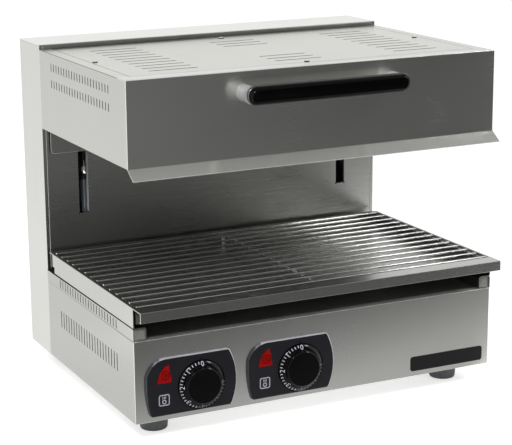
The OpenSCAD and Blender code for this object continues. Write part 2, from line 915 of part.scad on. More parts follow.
// Forked brackets on the floor, each with the pin of a strut's foot
module strut_base_brackets() {
    fork_x = strut_eye_w / 2 + slide_gap;
    ear = low_eye_d / 2;
    foot = 1.5 * ear;
    color("dimgray") both_sides() {
        block([strut_x - fork_x - bracket_t, strut_yy - foot, floor_top],
            [strut_x + fork_x + bracket_t, strut_yy + foot, floor_top + bracket_t]);
        for (side = [-1, 1]) {
            x = strut_x + side * (fork_x + bracket_t / 2);
            block([x - bracket_t / 2, strut_yy - ear, floor_top],
                [x + bracket_t / 2, strut_yy + ear, low_eye_z + ear]);
        }
        rod_x_between(strut_x - fork_x - bracket_t, strut_x + fork_x + bracket_t, strut_yy, low_eye_z,
            strut_pin_d);
    }
}

// ---------------------------------------------------------------- hood shell

// Side of the hood, with two rows of vent slots and folded edges
module hood_side_right() {
    row_top = hood_top - hood_vent_drop;
    color("gainsboro") difference() {
        union() {
            block([half_w - t, hood_front + t, hood_bottom], [half_w, hood_back, rim_z]);
            block([half_w - side_rim_w, hood_front + t, rim_z - t], [half_w - t, plate_front, rim_z]);
            block([cover_x + cover_seam, cover_front - cover_seam, rim_z], [half_w, hood_back, hood_top]);
            block([half_w - flange_w, hood_front + t, hood_bottom],
                [half_w - t, plate_front, hood_bottom + t]);
        }
        side_vents(hood_vent_y, row_top - hood_vent_h, row_top);
        side_vents(hood_vent_y, row_top - hood_vent_row - hood_vent_h, row_top - hood_vent_row);
        at_cover_screws() translate([0, 0, -4 * t]) cylinder(d = cover_screw_d + 2 * fit_gap, h = 4 * t);
    }
}

module hood_side_left() {
    on_left() hood_side_right();
}

// Front of the hood with its flared lip, drawn as one folded sheet
module hood_front_panel() {
    lip_a = atan2(lip_drop, lip_out);
    lip_dy = t * sin(lip_a);
    lip_dz = t * cos(lip_a);
    color("silver") difference() {
        union() {
            block([-half_w, hood_front, hood_bottom], [half_w, hood_front + t, hood_top]);
            block([-half_w, hood_front, rim_z], [half_w, cover_front - cover_seam, hood_top]);
            block([-half_w + side_rim_w, hood_front, rim_z - t],
                [half_w - side_rim_w, cover_front + rim_under, rim_z]);
            translate([-half_w, 0, 0]) rotate([90, 0, 90]) linear_extrude(body_w)
                polygon([[hood_front, hood_bottom + t],
                    [hood_front - lip_out, hood_bottom - lip_drop + lip_dz],
                    [hood_front - lip_out + lip_dy, hood_bottom - lip_drop],
                    [hood_front + t, hood_bottom]]);
        }
        for (side = [-1, 1])
            rod_y(side * post_x, hood_front - cut, hood_front + t + cut, handle_z,
                post_screw_d + 2 * fit_gap);
        at_cover_screws() translate([0, 0, -4 * t]) cylinder(d = cover_screw_d + 2 * fit_gap, h = 4 * t);
    }
}

// Places of the screws that hold the top cover
module at_cover_screws() {
    for (side = [-1, 1]) translate([side * (cover_x - screw_edge), cover_mid_y, hood_top]) children();
    for (y = [cover_front + screw_edge, cover_back - screw_edge]) translate([0, y, hood_top]) children();
}

// Removable top cover with its groups of long slots
module hood_top_cover() {
    first_y = cover_back - 42;
    last_y = cover_front + 33;
    color("whitesmoke") difference() {
        block([-cover_x, cover_front, rim_z], [cover_x, cover_back, hood_top]);
        for (side = [-1, 1], i = [0 : top_slot_count - 1])
            flat_slot([side * top_slot_x, first_y - i * top_slot_pitch, rim_z - cut], top_slot_l, top_slot_w,
                t + 2 * cut);
        for (i = [0 : top_mid_count - 1]) {
            flat_slot([0, first_y - 4 - i * top_slot_pitch, rim_z - cut], top_slot_l, top_slot_w,
                t + 2 * cut);
            flat_slot([0, last_y + i * top_slot_pitch, rim_z - cut], top_slot_l, top_slot_w, t + 2 * cut);
        }
        at_cover_screws() translate([0, 0, -2 * t]) cylinder(d = cover_screw_d + 2 * fit_gap, h = 3 * t);
    }
}

module hood_top_screws() {
    color("lightgray") at_cover_screws() {
        cylinder(d = cover_screw_head_d, h = cover_screw_head_h);
        translate([0, 0, -3 * t]) cylinder(d = cover_screw_d, h = 3 * t + sink);
    }
}

// Back plate that closes the hood, hangs below its sides and carries the lift arms
module hood_back_plate() {
    hang_x = half_w - plate_inset;
    color("darkgray") difference() {
        union() {
            block([-half_w + t, plate_front, hood_bottom], [half_w - t, plate_back, rim_z]);
            block([-hang_x, plate_front, plate_z + plate_corner_r], [hang_x, plate_back, rim_z]);
            block([-hang_x + plate_corner_r, plate_front, plate_z],
                [hang_x - plate_corner_r, plate_back, rim_z]);
            for (side = [-1, 1])
                rod_y(side * (hang_x - plate_corner_r), plate_front, plate_back, plate_z + plate_corner_r,
                    2 * plate_corner_r);
            block([-half_w + side_rim_w, cover_back - rim_under, rim_z - t],
                [half_w - side_rim_w, plate_back, rim_z]);
            block([-cover_x - cover_seam, cover_back + cover_seam, rim_z],
                [cover_x + cover_seam, plate_back, hood_top]);
        }
        at_arm_bolts() translate([0, 0, -2 * t]) cylinder(d = arm_bolt_d + 2 * fit_gap, h = 4 * t);
        at_cover_screws() translate([0, 0, -4 * t]) cylinder(d = cover_screw_d + 2 * fit_gap, h = 4 * t);
    }
}

// ---------------------------------------------------------------- heating

// Folded reflector above the elements
module reflector() {
    y0 = hood_front + t;
    y1 = plate_front;
    color("lightgray") difference() {
        translate([-half_w + t, 0, 0]) rotate([90, 0, 90]) linear_extrude(body_w - 2 * t) polygon([
            [y0, reflector_low_z], [y0 + t, reflector_low_z], [y0 + t, reflector_flange_z],
            [y0 + reflector_slope_d, reflector_z - t], [y1 - reflector_slope_d, reflector_z - t],
            [y1 - t, reflector_flange_z], [y1 - t, reflector_low_z], [y1, reflector_low_z],
            [y1, reflector_flange_z + 1], [y1 - reflector_slope_d, reflector_z],
            [y0 + reflector_slope_d, reflector_z], [y0, reflector_flange_z + 1]]);
        both_sides() for (y = [element_y0, element_y0 + element_span])
            rod_z_between(riser_x, y, reflector_z - 4 * t, reflector_z + cut, element_d + 2);
    }
}

// Half turn of a heating element between two runs
module element_bend(x, y, facing) {
    translate([x, y, element_z]) rotate([0, 0, facing]) rotate_extrude(angle = 180, $fn = 64)
        translate([element_bend_r, 0]) circle(d = element_d, $fn = 24);
}

// Tubular element that runs to and fro, with both ends turned up through the reflector
module heating_element_right() {
    color([0.32, 0.3, 0.29]) {
        for (i = [0 : element_runs - 1])
            rod_x_between(element_in_x, element_out_x, element_y0 + i * element_pitch, element_z, element_d);
        for (i = [0 : 2 : element_runs - 2])
            element_bend(element_in_x, element_y0 + (i + 0.5) * element_pitch, 90);
        for (i = [1 : 2 : element_runs - 3])
            element_bend(element_out_x, element_y0 + (i + 0.5) * element_pitch, -90);
        for (y = [element_y0, element_y0 + element_span]) {
            rod_x_between(element_out_x - cut, riser_x - riser_r, y, element_z, element_d);
            translate([riser_x - riser_r, y, element_z + riser_r]) rotate([90, 0, 0]) rotate([0, 0, -90])
                rotate_extrude(angle = 90, $fn = 48) translate([riser_r, 0]) circle(d = element_d, $fn = 24);
            rod_z_between(riser_x, y, element_z + riser_r, riser_top, element_d);
        }
    }
}

module heating_element_left() {
    on_left() heating_element_right();
}

// Strips that hang the elements from the reflector
module element_hangers() {
    margin = 10;
    color("gray") both_sides() for (x = hanger_x) difference() {
        block([x - hanger_t / 2, element_y0 - margin, element_z - element_d / 2 - 2],
            [x + hanger_t / 2, element_y0 + element_span + margin, reflector_z - t]);
        for (i = [0 : element_runs - 1])
            rod_x_between(x - hanger_t, x + hanger_t, element_y0 + i * element_pitch, element_z,
                element_d + fit_gap);
    }
}

// Ceramic ends of the elements with their threaded studs
module element_terminals() {
    color("ivory") both_sides() for (y = [element_y0, element_y0 + element_span]) {
        rod_z_between(riser_x, y, riser_top, riser_top + ceramic_h, ceramic_d);
        rod_z_between(riser_x, y, riser_top + ceramic_h - 1, riser_top + ceramic_h + 10, 4);
    }
}

// ---------------------------------------------------------------- handle

// Flared posts that carry the grip
module handle_posts() {
    color("white") for (side = [-1, 1]) difference() {
        translate([side * post_x, hood_front, handle_z]) rotate([90, 0, 0])
            rotate_extrude($fn = 64) post_profile();
        rod_y(side * post_x, hood_front - post_l * 0.8, hood_front + cut, handle_z, post_screw_d + fit_gap);
    }
}

// Half outline of a post: a round bar that flares out to the grip
module post_profile() {
    neck = 0.55 * post_l;
    difference() {
        square([post_wide_d / 2, post_l]);
        translate([post_d / 2, -cut]) square([post_wide_d, neck + cut]);
        translate([post_d / 2 + post_l - neck, neck]) circle(r = post_l - neck, $fn = 64);
    }
}

// Grip with round ends
module handle_grip() {
    edge = 2.5;
    color([0.03, 0.03, 0.03]) translate([0, grip_back, handle_z]) rotate([90, 0, 0]) {
        linear_extrude(grip_t - edge) grip_outline(0);
        translate([0, 0, grip_t - edge - 0.01]) linear_extrude(edge + 0.01) grip_outline(edge);
    }
}

// Outline of the grip seen from the front, drawn in by an amount
module grip_outline(inset) {
    square([2 * grip_x, grip_h - 2 * inset], center = true);
    for (side = [-1, 1]) translate([side * grip_x, 0]) circle(d = grip_h - 2 * inset, $fn = 64);
}

// Screws that hold the posts from inside the hood
module handle_screws() {
    color("lightgray") for (side = [-1, 1]) {
        rod_y(side * post_x, hood_front - post_l * 0.7, hood_front + t + 1, handle_z, post_screw_d);
        rod_y(side * post_x, hood_front + t, hood_front + t + 4, handle_z, 1.8 * post_screw_d);
    }
}

// ---------------------------------------------------------------- lift, moving pieces

// Arm that reaches through the column's slot, with the pin of a strut
module lift_arm_right() {
    color("darkgray") difference() {
        union() {
            block([slot_x - arm_t / 2, plate_back, arm_z], [slot_x + arm_t / 2, block_front, arm_top]);
            block([slot_x + arm_t / 2 - arm_flange_w, plate_back, arm_z], [slot_x, hood_back, arm_top]);
            rod_x_between(strut_x - strut_eye_w / 2 - 1, slot_x, strut_yy, eye_z, strut_pin_d);
        }
        at_arm_bolts() translate([0, 0, -cut])
            cylinder(d = arm_bolt_d + 2 * fit_gap, h = arm_flange_t + 2 * cut);
    }
}

module lift_arm_left() {
    on_left() lift_arm_right();
}

// Places of the bolts that hold the arms to the back plate
module at_arm_bolts() {
    bolt_x = slot_x - arm_flange_w / 2;
    for (side = [-1, 1], z = [arm_z + arm_bolt_inset, arm_top - arm_bolt_inset])
        translate([side * bolt_x, plate_back, z]) rotate([-90, 0, 0]) children();
}

module arm_bolts() {
    head_h = 0.6 * arm_bolt_d;
    color("lightgray") at_arm_bolts() {
        translate([0, 0, -t - head_h]) cylinder(d = 1.8 * arm_bolt_d, h = head_h, $fn = 6);
        translate([0, 0, -t - sink]) cylinder(d = arm_bolt_d, h = t + sink + arm_flange_t);
    }
}

// Block that runs on a guide rod
module carriage_block_right() {
    color("gray") difference() {
        block([slot_x - block_w / 2, block_front, arm_z],
            [slot_x + block_w / 2, block_front + block_w, arm_top]);
        rod_z_between(slot_x, guide_yy, arm_z - cut, arm_top + cut, bush_d + bush_fit);
    }
}

module carriage_block_left() {
    on_left() carriage_block_right();
}

// Flanged bushes at both ends of the carriage blocks
module carriage_bushes() {
    color("goldenrod") both_sides() {
        bush(arm_z, 1);
        bush(arm_top, -1);
    }
}

module bush(z, up) {
    translate([slot_x, guide_yy, z]) mirror([0, 0, up > 0 ? 0 : 1]) difference() {
        union() {
            translate([0, 0, -bush_flange_t]) cylinder(d = bush_flange_d, h = bush_flange_t);
            translate([0, 0, -bush_flange_t / 2]) cylinder(d = bush_d, h = bush_l + bush_flange_t / 2);
        }
        translate([0, 0, -bush_flange_t - cut])
            cylinder(d = guide_d + bush_clear, h = bush_l + bush_flange_t + 2 * cut);
    }
}

// Tube of a strut with the collar at its closed end
module strut_tube_right() {
    color("lightslategray") difference() {
        union() {
            rod_z_between(strut_x, strut_yy, tube_z, tube_top - collar_h + 1, strut_tube_d);
            rod_z_between(strut_x, strut_yy, tube_top - collar_h, tube_top, collar_d);
        }
        rod_z_between(strut_x, strut_yy, tube_z - cut, tube_z + bore_depth, strut_rod_d + strut_clear);
    }
}

module strut_tube_left() {
    on_left() strut_tube_right();
}

// Lock nuts and threaded ends of the strut tubes
module strut_lock_nuts() {
    color("white") both_sides() {
        translate([strut_x, strut_yy, nut_z]) cylinder(d = strut_rod_d + 6, h = nut_h, $fn = 6);
        rod_z_between(strut_x, strut_yy, nut_z + nut_h - 1, fitting_z, strut_rod_d);
    }
}

// End fittings with the eyes that sit on the arms' pins
module strut_end_fittings() {
    color([0.06, 0.06, 0.06]) both_sides() difference() {
        union() {
            rod_z_between(strut_x, strut_yy, fitting_z, eye_z - 2, strut_eye_w);
            rod_x_between(strut_x - strut_eye_w / 2, strut_x + strut_eye_w / 2, strut_yy, eye_z, strut_eye_d);
        }
        rod_x_between(strut_x - strut_eye_w, strut_x + strut_eye_w, strut_yy, eye_z,
            strut_pin_d + 2 * fit_gap);
    }
}

// ---------------------------------------------------------------- pan and grid

// Section of a pan skirt: the upright, the bend and the flange that slides on the runner
module skirt_section() {
    translate([half_w - t, skirt_z + bend_r]) square([t, pan_top - skirt_z - bend_r]);
    translate([half_w - skirt_flange_w, skirt_z]) square([skirt_flange_w - bend_r, t]);
    intersection() {
        translate([half_w - bend_r, skirt_z]) square(bend_r);
        difference() {
            translate([half_w - bend_r, skirt_z + bend_r]) circle(r = bend_r, $fn = 48);
            translate([half_w - bend_r, skirt_z + bend_r]) circle(r = bend_r - t, $fn = 48);
        }
    }
}

// Pan that catches what drips and carries the grid
module grid_pan() {
    color("silver") {
        difference() {
            union() {
                block([-half_w, pan_front, pan_top - t], [half_w, pan_back, pan_top]);
                block([-well_x - t, well_front - t, well_floor], [well_x + t, well_back + t, pan_top]);
            }
            block([-well_x, well_front, well_floor + t], [well_x, well_back, pan_top + cut]);
        }
        block([-half_w, pan_front, pan_top - pan_lip_h], [half_w, pan_front + t, pan_top]);
        block([-half_w + t, pan_front, pan_top - pan_lip_h],
            [half_w - t, pan_front + 6, pan_top - pan_lip_h + t]);
        both_sides() translate([0, skirt_back, 0]) rotate([90, 0, 0])
            linear_extrude(skirt_back - base_front) skirt_section();
    }
}

// Wires of the lift-out grid, from side to side
module grid_wires() {
    color("white") for (i = [0 : wire_count - 1])
        rod_x_between(-rod_x - wire_over, rod_x + wire_over,
            grid_mid_y - wire_span / 2 + i * wire_pitch, wire_z, wire_d);
}

// Cross rods that the wires are welded on, whose ends are bent down as legs
module grid_rods() {
    color("white") for (x = [-rod_x, 0, rod_x]) {
        rod_y(x, grid_mid_y - leg_reach, grid_mid_y + leg_reach, rod_z, rod_d);
        for (end = [-1, 1]) {
            y = grid_mid_y + end * leg_reach;
            translate([x, y, rod_z]) sphere(d = rod_d, $fn = 32);
            rod_z_between(x, y, well_floor + t + slide_gap, rod_z, rod_d);
        }
    }
}

base_front_panel();
base_side_left();
base_side_right();
base_floor();
deck_plate();
runner_left();
runner_right();
rubber_feet();
foot_screws();
control_bezel_left();
control_bezel_right();
indicator_lenses();
indicator_lamps();
energy_regulator_left();
energy_regulator_right();
terminal_block();
cable_gland();
badge_plate();
column_side_left();
column_side_right();
column_front_panel();
column_back_cover();
column_top_cap();
back_cover_screws();
guide_rods();
guide_rod_mounts();
strut_rod_left();
strut_rod_right();
strut_base_brackets();
hood_side_left();
hood_side_right();
hood_front_panel();
hood_top_cover();
hood_top_screws();
hood_back_plate();
reflector();
heating_element_left();
heating_element_right();
element_hangers();
element_terminals();
handle_posts();
handle_grip();
handle_screws();
lift_arm_left();
lift_arm_right();
carriage_block_left();
carriage_block_right();
carriage_bushes();
strut_tube_left();
strut_tube_right();
strut_end_fittings();
strut_lock_nuts();
arm_bolts();
control_knob_left();
control_knob_right();
regulator_shaft_left();
regulator_shaft_right();
grid_pan();
grid_wires();
grid_rods();
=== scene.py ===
"""Looks of a rise-and-fall cheese melter: a heated hood on a rear column, over a pan with a wire grid.

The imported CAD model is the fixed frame. The sheet-metal pieces, controls, handle, grid, struts and feet get
detailed pieces in its place, and every other node gets a procedural finish.
"""

import functools
import logging
import math
from dataclasses import dataclass
from enum import Enum, StrEnum
from typing import Callable, Iterable, Optional, Sequence, Union

import bmesh
import bpy
from bmesh.types import BMEdge, BMesh, BMFace, BMVert
from mathutils import Matrix, Vector


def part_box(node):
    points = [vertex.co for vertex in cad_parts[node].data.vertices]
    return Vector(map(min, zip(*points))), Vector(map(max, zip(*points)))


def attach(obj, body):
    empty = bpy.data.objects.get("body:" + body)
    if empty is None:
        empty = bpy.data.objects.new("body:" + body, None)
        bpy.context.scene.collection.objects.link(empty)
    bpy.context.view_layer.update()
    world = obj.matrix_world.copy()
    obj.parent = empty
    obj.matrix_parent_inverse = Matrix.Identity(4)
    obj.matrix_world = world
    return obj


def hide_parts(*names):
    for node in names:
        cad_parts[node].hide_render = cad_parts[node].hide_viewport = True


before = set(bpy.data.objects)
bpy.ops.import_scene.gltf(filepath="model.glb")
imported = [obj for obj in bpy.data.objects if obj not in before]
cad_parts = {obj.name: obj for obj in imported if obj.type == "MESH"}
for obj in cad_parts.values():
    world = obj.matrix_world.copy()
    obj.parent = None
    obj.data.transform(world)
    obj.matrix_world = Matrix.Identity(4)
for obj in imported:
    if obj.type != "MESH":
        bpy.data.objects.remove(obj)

log = logging.getLogger("cheese_melter")
MM = 0.001
SLACK = 0.05 * MM  # how far a corner may be off the plane that it is tested against
WELD = 0.001 * MM  # distance within which corners are merged
PRINT_GAP = 0.02 * MM  # how far printed marks stand off the face under them
RELIEF_DEPTH = 0.2 * MM  # depth of a finish's fine relief
Colour = tuple[float, float, float]
Point = Sequence[float]
Outline = Sequence[tuple[float, float]]
EdgeTest = Callable[[BMEdge], bool]
FaceTest = Callable[[BMFace], bool]


class Side(StrEnum):
    """Side of the melter, as someone in front of it sees it."""

    LEFT = "left"
    RIGHT = "right"


# ---------------------------------------------------------------- shader maths


class Signal:
    """A socket of a node tree, with the operators that shader maths needs."""

    def __init__(self, bench: "Bench", socket: bpy.types.NodeSocket) -> None:
        """Wraps one output socket of a tree."""
        self.bench = bench
        self.socket = socket

    def _math(self, operation: str, *values: "Value") -> "Signal":
        """One Math node on some values."""
        return self.bench.node("ShaderNodeMath", {"operation": operation}, dict(enumerate(values)))

    def __add__(self, other: "Value") -> "Signal":
        """Sum."""
        return self._math("ADD", self, other)

    def __sub__(self, other: "Value") -> "Signal":
        """Difference."""
        return self._math("SUBTRACT", self, other)

    def __rsub__(self, other: "Value") -> "Signal":
        """A number minus this signal."""
        return self._math("SUBTRACT", other, self)

    def __mul__(self, other: "Value") -> "Signal":
        """Product."""
        return self._math("MULTIPLY", self, other)

    def __truediv__(self, other: "Value") -> "Signal":
        """Quotient."""
        return self._math("DIVIDE", self, other)

    __radd__ = __add__
    __rmul__ = __mul__

    def limited(self) -> "Signal":
        """The signal kept between 0 and 1."""
        return self.bench.node("ShaderNodeClamp", {}, {0: self})

    def ramp(self, low: float, high: float) -> "Signal":
        """A smooth step from 0 at low to 1 at high.

        Args:
            low: value of the signal at which the step starts.
            high: value at which it ends.

        Returns:
            The step, between 0 and 1.
        """
        settings = {"interpolation_type": "SMOOTHSTEP"}
        return self.bench.node("ShaderNodeMapRange", settings, {0: self, 1: low, 2: high, 3: 0.0, 4: 1.0})


Value = Union[Signal, float]


class Bench:
    """Builds the nodes of one tree."""

    def __init__(self, tree: bpy.types.NodeTree) -> None:
        """Starts on an emptied tree."""
        self.tree = tree
        tree.nodes.clear()

    def node(self, kind: str, settings: dict, inputs: dict, output: Union[int, str] = 0) -> Signal:
        """Adds a node of any type.

        Args:
            kind: the node's type.
            settings: its settings, which are made before its sockets are used.
            inputs: a number, a colour, a vector or a link for each socket named or numbered.
            output: the output that is wanted.

        Returns:
            That output as a signal.
        """
        node = self.tree.nodes.new(kind)
        for name, setting in settings.items():
            setattr(node, name, setting)
        for key, value in inputs.items():
            socket = node.inputs[key]
            if isinstance(value, Signal):
                self.tree.links.new(value.socket, socket)
            elif isinstance(value, tuple) and socket.type == "RGBA":
                socket.default_value = (*value[:3], 1.0)
            else:
                socket.default_value = value
        return Signal(self, node.outputs[output] if len(node.outputs) else None)

    def mix(self, factor: Value, low: Union[Signal, Colour], high: Union[Signal, Colour]) -> Signal:
        """Blends two colours."""
        return self.node("ShaderNodeMix", {"data_type": "RGBA"}, {0: factor, 6: low, 7: high}, 2)

    def place(self, stretch: Point = (1.0, 1.0, 1.0), shift: Point = (0.0, 0.0, 0.0)) -> Signal:
        """Object coordinates, stretched and shifted.

        Args:
            stretch: factor along X, Y and Z.
            shift: what is added after that.

        Returns:
            The coordinates.
        """
        where = self.node("ShaderNodeTexCoord", {}, {}, "Object")
        sockets = {"Vector": where, "Scale": tuple(stretch), "Location": tuple(shift)}
        return self.node("ShaderNodeMapping", {}, sockets)

    def noise(self, size: Point, detail: float = 2.0, seed: float = 0.0) -> Signal:
        """Soft noise whose lumps measure about size, in metres, along X, Y and Z."""
        where = self.place([1.0 / s for s in size], (seed, 1.7 * seed, 2.3 * seed))
        return self.node("ShaderNodeTexNoise", {}, {"Vector": where, "Scale": 1.0, "Detail": detail})

    def bump(self, height: Signal, strength: float, distance: float) -> Signal:
        """A normal that stands for fine relief."""
        return self.node("ShaderNodeBump", {}, {"Strength": strength, "Distance": distance, "Height": height})


def new_material(name: str) -> tuple[bpy.types.Material, Bench]:
    """A material with an emptied tree.

    Args:
        name: its name.

    Returns:
        The material and the bench for its tree.
    """
    material = bpy.data.materials.new(name)
    material.use_nodes = True
    return material, Bench(material.node_tree)


# ---------------------------------------------------------------- finishes


class Grain(Enum):
    """Direction in which a sheet is brushed, as the size of one streak in metres."""

    ACROSS = (0.09, 0.0012, 0.0009)
    DEPTH = (0.0009, 0.09, 0.0012)
    UPRIGHT = (0.0012, 0.0012, 0.09)


@dataclass(frozen=True)
class Finish:
    """A finish with a slightly clouded tone and a fine relief.

    Attributes:
        name: name of the material.
        tone: its mean colour.
        rough: its mean roughness.
        metallic: 1 for bare metal.
        cloud: how much the tone drifts.
        patch: size of the clouds in metres.
        pore: size of the fine relief in metres.
        relief: strength of the fine relief.
        shine: how strongly its surface mirrors, 0.5 for common plastic.
        smear: how much its roughness drifts, as a part of it.
    """

    name: str
    tone: Colour
    rough: float
    metallic: float = 0.0
    cloud: float = 0.12
    patch: float = 0.03
    pore: float = 0.0008
    relief: float = 0.1
    shine: float = 0.5
    smear: float = 0.35

    def colour(self, bench: Bench) -> Signal:
        """Colour over the surface."""
        drift = bench.noise([self.patch] * 3, detail=3.0, seed=1.0)
        return bench.mix(drift.ramp(0.3, 0.7), self.shade(1.0 - self.cloud), self.shade(1.0 + self.cloud))

    def roughness(self, bench: Bench) -> Signal:
        """Roughness over the surface."""
        drift = bench.noise([1.6 * self.patch] * 3, seed=4.0)
        return (self.rough + self.smear * self.rough * (drift - 0.5)).limited()

    def height(self, bench: Bench) -> Signal:
        """Fine relief of the surface."""
        return bench.noise([self.pore] * 3, seed=7.0)

    def shade(self, level: float) -> Colour:
        """The tone made lighter or darker."""
        red, green, blue = (min(1.0, part * level) for part in self.tone)
        return red, green, blue

    @functools.lru_cache(maxsize=None)
    def material(self) -> bpy.types.Material:
        """Builds the material, once for each finish.

        Returns:
            The material.
        """
        material, bench = new_material(self.name)
        material.diffuse_color = (*self.tone, 1.0)
        sockets = {
            "Base Color": self.colour(bench),
            "Roughness": self.roughness(bench),
            "Metallic": self.metallic,
            "Normal": bench.bump(self.height(bench), self.relief, RELIEF_DEPTH),
            "Specular IOR Level": self.shine,
        }
        shader = bench.node("ShaderNodeBsdfPrincipled", {}, {**sockets, **self.extras(bench)})
        bench.node("ShaderNodeOutputMaterial", {}, {0: shader})
        return material

    def extras(self, bench: Bench) -> dict:
        """Further sockets of the shader."""
        return {}


@dataclass(frozen=True)
class BrushedSteel(Finish):
    """Satin stainless sheet, brushed along one direction.

    Attributes:
        grain: direction and size of the streaks.
        streak: how strongly the streaks show.
        stretch: how much the brushing draws reflections out across it.
        scratch: how much its streaks change the roughness.
        handling: how much handling marks add to the roughness.
    """

    grain: Grain = Grain.ACROSS
    streak: float = 0.03
    stretch: float = 0.0
    scratch: float = 0.06
    handling: float = 0.02
    metallic: float = 1.0
    cloud: float = 0.02
    patch: float = 0.16
    relief: float = 0.07

    def colour(self, bench: Bench) -> Signal:
        """Soft clouds with fine and broad streaks.

        Args:
            bench: builds the nodes.

        Returns:
            The colour.
        """
        fine = bench.noise(self.grain.value, detail=3.0, seed=2.0)
        broad = bench.noise([3.0 * size for size in self.grain.value], seed=5.0)
        drift = bench.noise([self.patch] * 3, seed=1.0)
        spread = 2.0 * (self.cloud + self.streak)
        mixed = (drift - 0.5) * (2.0 * self.cloud) + ((fine - 0.5) + (broad - 0.5)) * self.streak
        level = (mixed / (2.0 * spread) + 0.5).limited()
        return bench.mix(level, self.shade(1.0 - spread), self.shade(1.0 + spread))

    def roughness(self, bench: Bench) -> Signal:
        """Roughness that follows the streaks and some handling marks.

        Args:
            bench: builds the nodes.

        Returns:
            The roughness.
        """
        fine = bench.noise(self.grain.value, seed=3.0)
        hands = bench.noise([0.07] * 3, detail=3.0, seed=9.0).ramp(0.45, 0.75)
        return (self.rough + self.scratch * (fine - 0.5) + self.handling * hands).limited()

    def height(self, bench: Bench) -> Signal:
        """Scratches of the brushing."""
        return bench.noise([0.5 * size for size in self.grain.value], seed=6.0)

    def extras(self, bench: Bench) -> dict:
        """Reflections drawn out square to the brushing."""
        return {"Anisotropic": self.stretch, "Anisotropic Rotation": 0.25}


@dataclass(frozen=True)
class HotSheath(Finish):
    """Metal sheath of a heating element, with the tints that heat leaves.

    Attributes:
        tint: colour of the hottest stretches.
    """

    tint: Colour = (0.16, 0.09, 0.06)
    metallic: float = 0.8

    def colour(self, bench: Bench) -> Signal:
        """Dark oxide with warmer stretches along the runs.

        Args:
            bench: builds the nodes.

        Returns:
            The colour.
        """
        oxide = bench.noise([0.012, 0.006, 0.006], detail=4.0, seed=2.0).ramp(0.35, 0.7)
        heat = bench.noise([0.08, 0.3, 0.3], seed=5.0).ramp(0.45, 0.65)
        return bench.mix(heat * 0.6, bench.mix(oxide, self.shade(0.7), self.shade(1.4)), self.tint)


@dataclass(frozen=True)
class SignalLens(Finish):
    """Clear red plastic over a lamp, with a faint painted glow.

    Attributes:
        glow: strength of its faint painted glow.
    """

    glow: float = 0.02

    def extras(self, bench: Bench) -> dict:
        """A faint painted glow, stronger in the middle of the clouds.

        Args:
            bench: builds the nodes.

        Returns:
            The sockets and what they get.
        """
        inside = bench.noise([0.006] * 3, detail=1.0, seed=3.0).ramp(0.3, 0.7)
        light = bench.mix(inside, self.shade(0.6), self.shade(1.2))
        return {"Emission Color": light, "Emission Strength": self.glow}


FRONT_STEEL = BrushedSteel("satin_steel_front", (0.6, 0.6, 0.575), 0.25, grain=Grain.ACROSS, stretch=0.5)
# Painted light and shade: these seven are the front's satin steel. The top and the cap are painted lighter,
# and the sides, the column and the pan are painted darker, for how light falls on them.
SHADED_BASE_SIDE_STEEL = BrushedSteel("base_side_steel_painted_shade", (0.39, 0.394, 0.378), 0.3, grain=Grain.DEPTH)
SHADED_HOOD_SIDE_STEEL = BrushedSteel("hood_side_steel_painted_shade", (0.46, 0.462, 0.438), 0.3, grain=Grain.DEPTH)
SHADED_COLUMN_SIDE_STEEL = BrushedSteel("column_side_steel_painted_shade", (0.56, 0.56, 0.535), 0.3, grain=Grain.UPRIGHT)
LIT_TOP_STEEL = BrushedSteel("satin_steel_top_painted_light", (0.64, 0.64, 0.595), 0.3, grain=Grain.ACROSS)
LIT_CAP_STEEL = BrushedSteel("satin_steel_cap_painted_light", (0.82, 0.82, 0.79), 0.3, grain=Grain.ACROSS)
SHADED_COLUMN_STEEL = BrushedSteel("satin_steel_column_painted_shade", (0.5, 0.5, 0.48), 0.28, grain=Grain.ACROSS, stretch=0.3)
SHADED_PAN_STEEL = BrushedSteel("satin_steel_pan_painted_shade", (0.44, 0.44, 0.42), 0.26, grain=Grain.ACROSS)
# Painted highlight: a pale, half-matt steel that stands in for the light that folds, edges and screw heads
# catch.
HIGHLIGHT_STEEL = Finish("painted_highlight_fold", (0.8, 0.8, 0.77), 0.4, 0.35, cloud=0.03, relief=0.03)
SHADED_STEEL = Finish("shaded_fold", (0.2, 0.2, 0.17), 0.5, 0.3, cloud=0.05, relief=0.05)
END_STEEL = Finish("runner_end", (0.3, 0.3, 0.275), 0.4, 0.4, cloud=0.2, patch=0.01, relief=0.1)
# Painted shade: near black for the shadow gap along the runners' tops and round the screw heads.
SHADE_LINE_STEEL = Finish("painted_shade_line", (0.012, 0.012, 0.01), 0.6, cloud=0.1, relief=0.05, shine=0.1)
# Painted light: the deck's steel is painted lighter than the other sheets.
LIT_DECK_STEEL = BrushedSteel("dull_deck_steel_painted_light", (0.72, 0.72, 0.7), 0.5, grain=Grain.ACROSS)
INNER_STEEL = BrushedSteel("plain_inner_steel", (0.48, 0.48, 0.475), 0.38, streak=0.03, cloud=0.06)
GALVANISED = Finish("galvanised_steel", (0.5, 0.51, 0.52), 0.45, 1.0, cloud=0.16, patch=0.008)
BRIGHT = Finish("polished_steel", (0.82, 0.82, 0.81), 0.09, 1.0, cloud=0.03, relief=0.02)
